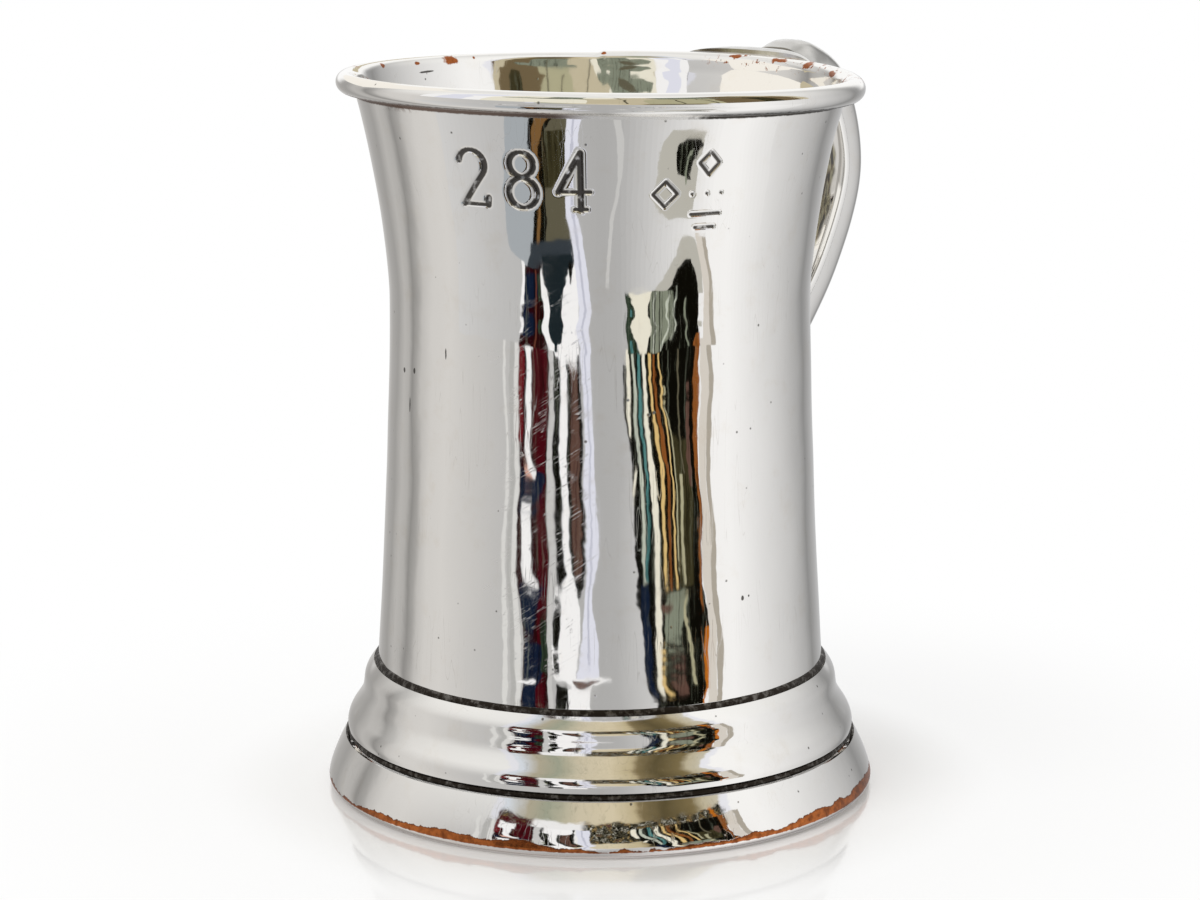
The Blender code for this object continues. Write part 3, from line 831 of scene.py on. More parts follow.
def solder_ring(name, node, run, finish):
    """A ragged run of solder in a seam."""
    centre, half_width, half_height = run
    corners = 12
    ring = [(centre[0] + half_width * math.cos(math.tau * i / corners),
             centre[1] + half_height * math.sin(math.tau * i / corners)) for i in range(corners)]
    obj = turned(name, ring + [ring[0]], BASE_STEPS)
    for vert in obj.data.vertices:
        x, y, z = vert.co
        way = Vector((x - AXIS_X, y, 0.0)).normalized()
        lump = noise.noise(Vector((way.x * 7.0, way.y * 7.0, z / (1.5 * MM))))
        lump += 0.5 * noise.noise(Vector((way.x * 19.0, way.y * 19.0, z / (0.6 * MM))))
        vert.co += way * SOLDER_RAGGED * lump
    shade_smooth(obj, 60.0)
    settle(obj, node, seam_finish(name + " dull", finish))


def catmull_rom(points, steps):
    """Smooth curve through the points, with the given steps on each stretch."""
    padded = [points[0] * 2 - points[1]] + points + [points[-1] * 2 - points[-2]]
    curve = []
    for p0, p1, p2, p3 in zip(padded, padded[1:], padded[2:], padded[3:]):
        for i in range(steps):
            t = i / steps
            curve.append(((p1 * 2) + (p2 - p0) * t + (p0 * 2 - p1 * 5 + p2 * 4 - p3) * t ** 2
                          + (p1 * 3 - p0 - p2 * 3 + p3) * t ** 3) / 2)
    curve.append(points[-1])
    return curve


def even_steps(curve, count):
    """Resamples a curve to equally long steps."""
    lengths = [0.0]
    for a, b in zip(curve, curve[1:]):
        lengths.append(lengths[-1] + (b - a).length)
    result = []
    k = 0
    for i in range(count + 1):
        wanted = lengths[-1] * i / count
        while k < len(curve) - 2 and lengths[k + 1] < wanted:
            k += 1
        share = (wanted - lengths[k]) / (lengths[k + 1] - lengths[k])
        result.append(curve[k].lerp(curve[k + 1], min(share, 1.0)))
    return result


def crown_line(sizes):
    """Crown of the handle, the last point inside the barrel."""
    end_height = sizes.brim_height - HANDLE_END_DROP
    end_radius = barrel_radius(sizes, end_height) + sizes.sheet / 2 + HANDLE_END_STANDOFF
    points = [Vector((sizes.lip_radius + out * MM, sizes.brim_height + rise * MM))
              for out, rise in HANDLE_CROWN]
    points.append(Vector((end_radius, end_height)))
    slope = points[-1] - points[-2]
    buried_radius = sizes.waist_radius - sizes.handle_width_end / 2
    buried = points[-1] + slope * ((buried_radius - end_radius) / slope.x)
    curve = even_steps(catmull_rom(points + [buried], 24)[:-24], HANDLE_STATIONS)
    return curve + [buried]


def crown_normals(line):
    """Outward normals of the crown line."""
    normals = []
    for i in range(len(line)):
        way = (line[min(i + 1, len(line) - 1)] - line[max(i - 1, 0)]).normalized()
        normals.append(Vector((-way.y, way.x)))
    return normals


def dome(half, depth, start, steps, fullness=HANDLE_FULLNESS):
    """Half-round line over the handle from one side to the other, from a given height."""
    lowest = math.asin((start / depth) ** (1.0 / fullness))
    points = []
    for i in range(steps + 1):
        angle = lowest + (math.pi - 2 * lowest) * i / steps
        cosine = math.cos(angle)
        side = math.copysign(abs(cosine) ** fullness, cosine)
        points.append((half * side, depth * abs(math.sin(angle)) ** fullness))
    return points


def shell_section(half, depth):
    """Open half-round channel that sits on the strap."""
    foot = STRAP_THICKNESS + SOLDERED_GAP
    outer = dome(half, depth, foot, 36)
    inner = dome(half - SHELL_WALL, depth - SHELL_WALL, foot, 14)
    return outer + inner[::-1]


def strap_section(half, _depth):
    """Flat strap, hollowed a little on its inner face, with eased edges, as thick at any depth."""
    top = STRAP_THICKNESS
    ease_by = STRAP_EDGE_ROUND
    line = [(half, top), (half / 3, top), (-half / 3, top), (-half, top)]
    line += [(-half, ease_by), (-half + 0.3 * ease_by, 0.3 * ease_by), (-half + ease_by, 0.0)]
    for i in range(1, 8):
        share = i / 4 - 1.0
        line.append((share * (half - ease_by), 0.12 * MM * (1.0 - share ** 2)))
    line += [(half - ease_by, 0.0), (half - 0.3 * ease_by, 0.3 * ease_by), (half, ease_by)]
    return line


def grown_section(margin):
    """Section of shell and strap together, grown by a margin all round."""
    def section(half, depth):
        crown = dome(half + margin, depth + 2 * margin, 0.0, 24)
        return [(side, height - margin) for side, height in crown]
    return section


def handle_rings(sizes, section):
    """Places a section along the crown line."""
    line = crown_line(sizes)
    rings = []
    for i, (crown, normal) in enumerate(zip(line, crown_normals(line))):
        share = min(i / HANDLE_STATIONS, 1.0)
        half = (sizes.handle_width + (sizes.handle_width_end - sizes.handle_width) * share) / 2
        depth = sizes.handle_depth + (sizes.handle_depth_end - sizes.handle_depth) * share
        ring = []
        for side, height in section(half, depth):
            place = crown + normal * (height - depth)
            ring.append((AXIS_X + place.x, side, place.y))
        rings.append(ring)
    return rings


def root_rings(sizes):
    """Rings of the handle's root, from the D section to the flare that follows the lip."""
    line = crown_line(sizes)
    lean = crown_normals(line)[0]
    along = Vector((lean.y, -lean.x))
    start = line[0] - along * SOLDERED_GAP
    upright = Vector((0.0, 1.0))
    half_start = sizes.handle_width / 2
    rings = []
    for i in range(ROOT_STATIONS + 1):
        share = i / ROOT_STATIONS
        spread = ease(share)
        half = half_start + (sizes.root_half_width - half_start) * spread
        rise = lean.lerp(upright, ease(2 * share)).normalized()
        crown = start + Vector((sizes.lip_radius - ROOT_LAP - start.x, 0.0)) * share
        crown.y += (sizes.brim_height + ROOT_TOP_RISE - start.y) * ease(1.6 * share)
        crown.y += (ROOT_LIP_RISE - ROOT_TOP_RISE) * ease(2 * share - 1.0)
        fullness = HANDLE_FULLNESS + (ROOT_FULLNESS - HANDLE_FULLNESS) * spread
        ring = []
        for side, height in dome(half, sizes.handle_depth, 0.0, 40, fullness):
            radius = crown.x + rise.x * (height - sizes.handle_depth)
            turn = side / sizes.lip_radius
            flat = Vector((radius, side))
            curved = Vector((radius * math.cos(turn), radius * math.sin(turn)))
            place = flat.lerp(curved, spread)
            z = crown.y + rise.y * (height - sizes.handle_depth)
            ring.append((AXIS_X + place.x, place.y, z))
        rings.append(ring)
    return rings


def barrel_clearance(sizes, gap):
    """Cutter that leaves a gap outside the barrel's wall and its rolled lip."""
    wall = [(r + sizes.sheet / 2 + gap, z) for r, z in wall_line(sizes, 40)]
    centre = (sizes.lip_radius - sizes.bead_radius, sizes.brim_height - sizes.bead_radius)
    bead = arc(centre, sizes.bead_radius + gap, ROLL_END, ROLL_START, 36)
    wall = [(r, z) for r, z in wall if z < centre[1] - sizes.bead_radius - gap]
    core = 12.0 * MM
    outline = [(core, sizes.shoulder_height)] + wall + bead + [(core, bead[-1][1])]
    return turned("barrel_clearance", outline + [outline[0]], CUTTER_STEPS)


def knock_handle(obj):
    """Lets the handle's surface wander a little, as bent sheet does."""
    for vert in obj.data.vertices:
        place = vert.co / (9.0 * MM)
        fine = vert.co / (3.5 * MM)
        shift = Vector((noise.noise(place), noise.noise(place + Vector((7.0, 0.0, 0.0))),
                        noise.noise(place + Vector((0.0, 7.0, 0.0)))))
        vert.co += shift * 0.05 * MM + Vector((0.0, noise.noise(fine), 0.0)) * 0.012 * MM


def make_handle(sizes, finish):
    """The handle's half-round shell and its flat strap."""
    clearance = barrel_clearance(sizes, SEAT_GAP)
    silver = handle_finish("handle silver", finish)
    shell = lofted("handle_shell_skin", handle_rings(sizes, shell_section))
    strap = lofted("handle_strap_skin", handle_rings(sizes, strap_section))
    for obj, node in ((shell, "handle_shell"), (strap, "handle_strap")):
        cut(obj, clearance)
        knock_handle(obj)
        shade_smooth(obj, 40.0)
        settle(obj, node, silver)
    remove(clearance)


def make_root(sizes, finish):
    """The flared root that laps the lip."""
    clearance = barrel_clearance(sizes, -SOLDER_BITE)
    root = lofted("handle_root_skin", root_rings(sizes))
    cut(root, clearance)
    remove(clearance)
    bpy.ops.mesh.primitive_cylinder_add(vertices=CUTTER_STEPS, depth=20.0 * MM,
                                        radius=sizes.lip_radius - ROOT_STEP_BACK,
                                        location=(AXIS_X, 0.0, sizes.brim_height))
    mouth = bpy.context.object
    cut(root, mouth)
    remove(mouth)
    for vert in root.data.vertices:
        near_lip = ease((AXIS_X + ROOT_SAG_REACH - vert.co.x) / ROOT_SAG_OVER)
        vert.co.z -= lip_sag(turn_of(vert.co.x, vert.co.y)) * near_lip
    shade_smooth(root, 40.0)
    settle(root, "handle_root", handle_finish("root silver", finish))


def make_collar(sizes, finish):
    """The run of solder round the handle's lower end."""
    near = sizes.sheet / 2 + SEAT_GAP
    inner = [(r + near, z) for r, z in wall_line(sizes, 60)]
    outer = [(r + COLLAR_HEIGHT, z) for r, z in inner]
    outline = inner + outer[::-1]
    sleeve = turned("barrel_sleeve", outline + [outline[0]], CUTTER_STEPS)
    collar = lofted("handle_collar_skin", handle_rings(sizes, grown_section(COLLAR_WIDTH))[-14:])
    space = lofted("handle_space", handle_rings(sizes, grown_section(SEAT_GAP))[-15:])
    cut(collar, sleeve, 'INTERSECT')
    cut(collar, space)
    remove(sleeve)
    remove(space)
    shade_smooth(collar, 40.0)
    settle(collar, "handle_collar", seam_finish("collar solder", finish))


def start_metal(name):
    """A new material with its graph and the place on the mug in millimetres."""
    material = bpy.data.materials.new(name)
    material.use_nodes = True
    graph = Graph(material.node_tree)
    object_place = graph.out(graph.node("ShaderNodeTexCoord"), "Object")
    inputs = {"Vector": object_place, "Location": (-AXIS_X / MM, 0.0, 0.0),
              "Scale": (1 / MM, 1 / MM, 1 / MM)}
    place = graph.out(graph.node("ShaderNodeMapping", inputs=inputs))
    return material, graph, place


def finish_metal(graph, colour, roughness, height, bump_distance):
    """Joins colour, roughness and relief in one metal shader."""
    bump_inputs = {"Strength": 1.0, "Distance": bump_distance, "Height": height}
    normal = graph.out(graph.node("ShaderNodeBump", inputs=bump_inputs))
    inputs = {"Base Color": colour, "Metallic": 1.0, "Roughness": roughness, "Normal": normal}
    shader = graph.node("ShaderNodeBsdfPrincipled", inputs=inputs)
    graph.node("ShaderNodeOutputMaterial", inputs={"Surface": graph.out(shader)})


def turn_from_front(graph, place):
    """Turn of a place or a way from the mug's front, in degrees."""
    right = graph.dot(place, RIGHT_WAY)
    front = graph.dot(place, FRONT_WAY)
    return graph.maths('ARCTAN2', right, front) * math.degrees(1.0)


def height_of(graph, place):
    """Height of a place, in the place's own unit."""
    return graph.dot(place, (0.0, 0.0, 1.0))


def distance_from_axis(graph, place):
    """Distance of a place from the mug's axis, in the place's own unit."""
    right = graph.dot(place, RIGHT_WAY)
    front = graph.dot(place, FRONT_WAY)
    return graph.maths('SQRT', right * right + front * front)


def scratches(graph, place, way, spacing, width):
    """Thin lines that run roughly along one way."""
    inputs = {"Vector": place, "Rotation": way, "Scale": (1.0, 1.0, 0.035)}
    stretched = graph.out(graph.node("ShaderNodeMapping", inputs=inputs))
    value = graph.noise(stretched, 1.0 / spacing, 1.0, 0.4)
    line = graph.maths('ABSOLUTE', value - 0.5)
    gaps = graph.fade(graph.noise(place, 0.11, 1.0), 0.5, 0.62)
    return graph.fade(line, 0.0, width, 1.0, 0.0) * gaps


def silver_layers(graph, place, finish):
    """Colour, roughness and relief of polished plate with its usual handling marks."""
    cloud = graph.noise(place, 0.06, 3.0)
    grime = graph.fade(graph.noise(place, 0.23, 4.0, 0.6), 0.52, 0.78)
    colour = graph.mix(grime * 0.22, tuple(finish.silver), (0.80, 0.72, 0.60))
    hairs = scratches(graph, place, (0.5, 0.3, 0.0), 1.3, 0.006)
    hairs = graph.maths('MAXIMUM', hairs, scratches(graph, place, (-0.7, 0.9, 0.4), 1.9, 0.005))
    pitted = graph.fade(graph.noise(place, 0.31, 1.0), 0.56, 0.6)
    pits = graph.fade(graph.cells(place, 0.42), 0.045, 0.11, 1.0, 0.0) * pitted
    colour = graph.mix(hairs * 0.22, colour, (0.55, 0.52, 0.47))
    colour = graph.mix(pits * 0.75, colour, tuple(finish.tarnish))
    satin = graph.fade(cloud, 0.35, 0.7)
    roughness = finish.polish + satin * 0.022 + grime * 0.04 + hairs * 0.12 + pits * 0.3
    dents = graph.noise(place, 0.42, 1.0, 0.45)
    grain = graph.noise(place, 7.0, 2.0, 0.6)
    relief = dents * 0.55 + grain * 0.004 - hairs * 0.04 - pits * 0.5
    return colour, roughness, relief


def spot(graph, turn, height, ragged, at_turn, at_height, half_turn, half_height):
    """1 inside one ragged patch on the mug."""
    across = (turn - at_turn) / half_turn
    up = (height - at_height) / half_height
    distance = graph.maths('SQRT', across * across + up * up)
    return graph.fade(distance + ragged, 0.75, 1.15, 1.0, 0.0)


# Patches on the barrel: turn and height of the middle, then half the width as a turn and half the
# height, with turns in degrees and heights in millimetres
LIP_CHIPS = [(-140.0, 107.35, 2.2, 0.62), (-114.0, 107.4, 0.9, 0.35), (-128.5, 107.2, 0.9, 0.25),
             (-146.8, 107.5, 0.4, 0.2), (179.0, 107.7, 0.7, 0.22), (144.0, 107.7, 1.7, 0.22),
             (130.0, 107.7, 2.6, 0.22), (119.0, 107.6, 1.8, 0.45), (104.0, 107.3, 2.6, 0.4),
             (90.0, 106.6, 1.2, 1.1), (-100.0, 107.9, 0.6, 0.2)]
WALL_NICKS = [(38.5, 34.2, 0.5, 0.42), (40.6, 34.4, 0.3, 0.22), (-44.4, 69.2, 0.3, 0.9),
              (-64.5, 65.4, 0.7, 0.4), (-58.4, 65.8, 0.5, 0.45), (-60.6, 60.6, 0.3, 1.1)]
INNER_NICK = (-131.0, 103.2, 2.6, 0.16)
SMUDGE = (-52.0, 103.7, 6.5, 1.1)


def spots(graph, turn, height, ragged, patches):
    """1 inside any of several ragged patches on the mug."""
    found = spot(graph, turn, height, ragged, *patches[0])
    for patch in patches[1:]:
        found = graph.maths('MAXIMUM', found, spot(graph, turn, height, ragged, *patch))
    return found


def stained_under_lip(graph, colour, turn, level, ragged, place, finish):
    """Darkens the line under the bead on the outer face; also gives where that line runs."""
    outer_face = graph.fade(distance_from_axis(graph, place), 35.75, 35.95)
    under_lip = graph.between(level + ragged * 0.12, 104.35, 105.3, 0.10) * outer_face
    right_part = graph.between(turn + ragged * 4.0, 22.0, 100.0, 4.0)
    left_part = graph.between(turn, -88.0, -6.0, 5.0)
    smudge = spot(graph, turn, level, ragged * 0.5, *SMUDGE)
    smudge = smudge * graph.fade(graph.noise(place, 1.6, 3.0), 0.36, 0.6) * outer_face
    colour = graph.mix(smudge * 0.6, colour, (0.20, 0.12, 0.085))
    colour = graph.mix(under_lip * left_part * 0.9, colour, (0.13, 0.07, 0.045))
    colour = graph.mix(under_lip * right_part * 0.97, colour, tuple(finish.tarnish))
    return colour, under_lip


def worn_lip(graph, turn, level, ragged, place):
    """1 where the plate has gone from the lip."""
    chips = spots(graph, turn, level, ragged * 0.8, LIP_CHIPS)
    rubbed = graph.between(turn, 80.0, 150.0, 5.0) * graph.between(level, 106.2, 108.4, 0.3)
    flecks = graph.fade(graph.noise(place, 0.8, 4.0, 0.75), 0.595, 0.625) * rubbed
    return graph.maths('MAXIMUM', chips, flecks)


def rub_marks(graph, turn, level, place):
    """Short fine scratches that rise to the right, in a rubbed area of the front."""
    along = graph.dot(place, RIGHT_WAY * 0.82 + Vector((0.0, 0.0, 0.57)))
    across = graph.dot(place, RIGHT_WAY * -0.57 + Vector((0.0, 0.0, 0.82)))
    value = graph.noise(graph.vector(across * 1.7, along * 0.11, 0.0), 1.0, 2.0, 0.5)
    marks = graph.fade(graph.maths('ABSOLUTE', value - 0.5), 0.004, 0.014, 1.0, 0.0)
    rubbed = graph.between(turn, -34.0, -2.0, 5.0) * graph.between(level, 24.0, 78.0, 6.0)
    return marks * (rubbed * graph.fade(graph.noise(place, 0.35, 1.0), 0.46, 0.6))


def barrel_finish(finish):
    """Silver of the barrel: tarnished marks, stained and chipped lip, nicks and rubbed front."""
    material, graph, place = start_metal("barrel silver")
    colour, roughness, relief = silver_layers(graph, place, finish)
    turn = turn_from_front(graph, place)
    level = graph.attribute("level")
    ragged = (graph.noise(place, 1.1, 3.0, 0.6) - 0.5) * 2.2
    stained = graph.fade(graph.attribute("strike"), 0.3, 0.8)
    stained = stained * graph.fade(graph.noise(place, 0.8), 0.2, 0.45)
    colour = graph.mix(stained * 0.93, colour, tuple(finish.tarnish))
    colour, under_lip = stained_under_lip(graph, colour, turn, level, ragged, place, finish)
    chips = worn_lip(graph, turn, level, ragged, place)
    copper = graph.mix(graph.noise(place, 2.5, 2.0), tuple(finish.copper), (0.20, 0.055, 0.02))
    colour = graph.mix(chips, colour, copper)
    inner_nick = spot(graph, turn, level + turn * 0.02, ragged * 0.35, *INNER_NICK)
    nicks = graph.maths('MAXIMUM', inner_nick, spots(graph, turn, level, ragged * 0.6, WALL_NICKS))
    colour = graph.mix(nicks * 0.9, colour, tuple(finish.tarnish))
    roughness = roughness + stained * 0.25 + under_lip * 0.3 + chips * 0.25
    roughness = roughness + rub_marks(graph, turn, level, place) * 0.24 + nicks * 0.2
    finish_metal(graph, colour, roughness, relief - stained * 0.5 - chips * 0.6, PLATE_RELIEF)
    return material


def base_finish(name, finish):
    """Silver of the skirt and the floor."""
    material, graph, place = start_metal(name)
    colour, roughness, relief = silver_layers(graph, place, finish)
    finish_metal(graph, colour, roughness + 0.01, relief, PLATE_RELIEF)
    return material


def foot_finish(finish):
    """Silver of the foot, worn through to the copper in a ragged band above its edge, with painted shade
    and a painted reflection of the floor on its tucked underside.
    """
    material, graph, place = start_metal("foot silver")
    colour, roughness, relief = silver_layers(graph, place, finish)
    turn = turn_from_front(graph, place)
    height = height_of(graph, place)
    ragged = graph.noise(place, 0.16, 2.0, 0.5)
    fine = graph.noise(place, 0.9, 4.0, 0.65)
    sides = graph.fade(turn, 25.0, 60.0) + graph.between(turn, -60.0, -10.0, 9.0) * 0.5
    limit = -0.3 + ragged * 2.6 + fine * 1.1 + sides
    above = height - limit
    worn = graph.fade(above, -0.06, 0.06, 1.0, 0.0) * graph.fade(height + fine * 0.5, 1.25, 1.4)
    brink = graph.fade(graph.maths('ABSOLUTE', above), 0.05, 0.16, 1.0, 0.0)
    copper = graph.mix(graph.fade(fine, 0.35, 0.7), tuple(finish.copper), (0.24, 0.07, 0.022))
    # Painted shade and painted reflection: the lowest millimetre of the foot, its tucked underside, is
    # mixed towards a pinkish grey.
    below = graph.fade(height, 0.5, 1.1, 1.0, 0.0)
    colour = graph.mix(below * 0.5, colour, (0.52, 0.42, 0.38))
    colour = graph.mix(worn, colour, copper)
    colour = graph.mix(brink * worn * 0.8, colour, (0.10, 0.035, 0.015))
    roughness = roughness + worn * 0.22 + below * 0.2
    finish_metal(graph, colour, roughness, relief - worn * 0.8, WORN_RELIEF)
    return material


def seam_finish(name, finish):
    """Dull solder, nearly black with tarnish, with paler rubbed lumps."""
    material, graph, place = start_metal(name)
    lumps = graph.noise(place, 0.9, 4.0, 0.65)
    rubbed = graph.fade(lumps, 0.46, 0.7)
    colour = graph.mix(rubbed * 0.38, tuple(finish.tarnish), tuple(finish.solder))
    roughness = 0.5 - rubbed * 0.15
    finish_metal(graph, colour, roughness, lumps + graph.noise(place, 6.0) * 0.3, SOLDER_RELIEF)
    return material


def handle_finish(name, finish):
    """Silver of the handle, with a painted reflection of the room's dark and olive streaks on its inner
    side, and greyer and rougher where its root meets the lip.
    """
    material, graph, place = start_metal(name)
    colour, roughness, relief = silver_layers(graph, place, finish)
    height = height_of(graph, place)
    across = graph.dot(place, (0.0, 1.0, 0.0))
    clouds = graph.noise(place, 0.16, 2.0, 0.5)
    # Painted reflection: streaks of the room's dark, olive and dun colours are put into the base colour
    # of the handle's upper middle.
    reflection_streaks = graph.noise(graph.vector(across * 1.1, height * 0.22, 3.0), 1.0, 2.0)
    inner = graph.between(height + clouds * 8.0, 80.0, 97.0, 1.5)
    aside = graph.maths('ABSOLUTE', across) + clouds * 2.0
    inner = inner * graph.fade(aside, 3.6, 4.2, 1.0, 0.0)
    room_reflection = graph.bands(reflection_streaks, [(0.0, DARK), (0.42, OLIVE_GREY), (0.48, PALE_OLIVE), (0.54, DUN),
                                (0.60, DARK)], 'LINEAR')
    colour = graph.mix(inner * 0.85, colour, room_reflection)
    # Greyer and rougher towards the top, where the root meets the lip.
    worn = graph.fade(height + clouds * 1.6, 105.6, 107.6)
    worn = worn * graph.fade(graph.noise(place, 0.35, 3.0), 0.2, 0.6, 0.38, 0.68)
    colour = graph.mix(worn, colour, (0.36, 0.35, 0.325))
    roughness = roughness + inner * 0.08 + worn * 0.12
    finish_metal(graph, colour, roughness, relief, HANDLE_RELIEF)
    return material


def wire_finish(finish):
    """Drawn copper wire."""
    material, graph, place = start_metal("drawn wire")
    streaks = graph.noise(place, 2.5, 3.0)
    colour = graph.mix(streaks, tuple(finish.copper), (0.40, 0.16, 0.08))
    finish_metal(graph, colour, 0.3 + streaks * 0.15, streaks, PLATE_RELIEF)
    return material


# Light of the pale tent round the mug, as (turn, level)
PALE_TENT = [(-180, 0.70), (-156, 0.42), (-144, 0.36), (-133, 0.50), (-126, 0.46), (-121, 0.29),
             (-115, 0.40), (-111, 0.55), (-103, 0.66), (-90, 0.69), (-69, 0.60), (-53, 0.54),
             (0, 0.44), (10, 0.46), (60, 0.95), (72, 0.96), (90, 0.82), (116, 0.60), (134, 0.42),
             (143, 0.28), (152, 0.38), (166, 0.52), (180, 0.70)]

# Colours of what the metal shows
WHITE = linear(248, 248, 250)
WARM_WHITE = linear(250, 246, 239)
PALE_BLUE = linear(226, 228, 242)
CREAM = linear(236, 232, 216)
SILVER_GREY = linear(200, 200, 200)
LAVENDER = linear(194, 196, 212)
SMOKE = linear(186, 184, 176)
STEEL = linear(166, 172, 178)
STEEL_DARK = linear(58, 64, 70)
TAUPE = linear(174, 167, 156)
LINEN = linear(216, 210, 202)
MIST = linear(220, 220, 219)
ASH = linear(180, 180, 179)
DARK = linear(20, 19, 15)
INK = linear(34, 42, 46)
CHESTNUT = linear(98, 56, 46)
BLACK_RED = linear(46, 16, 19)
MAROON = linear(72, 18, 26)
RED = linear(104, 26, 34)
PINK = linear(214, 168, 152)
NAVY = linear(24, 34, 54)
TEAL = linear(84, 134, 134)
DEEP_GREEN = linear(50, 62, 50)
BROWN = linear(98, 74, 66)
BRONZE = linear(122, 92, 58)
OLIVE = linear(62, 58, 40)
OLIVE_GREY = linear(96, 92, 76)
PALE_OLIVE = linear(176, 172, 142)
GREY_GREEN = linear(132, 138, 122)
PALE_GREEN = linear(196, 202, 188)
GOLD = linear(222, 190, 128)
RUST = linear(138, 84, 44)
BEIGE = linear(196, 186, 160)
DUN = linear(112, 98, 74)
ORANGE = linear(184, 106, 36)

# Strips of these colours carry fine upright threads
THREADED = (BLACK_RED, MAROON, NAVY, DARK, BROWN, OLIVE, RED, DEEP_GREEN, GREY_GREEN, RUST,
            PALE_GREEN, TEAL)

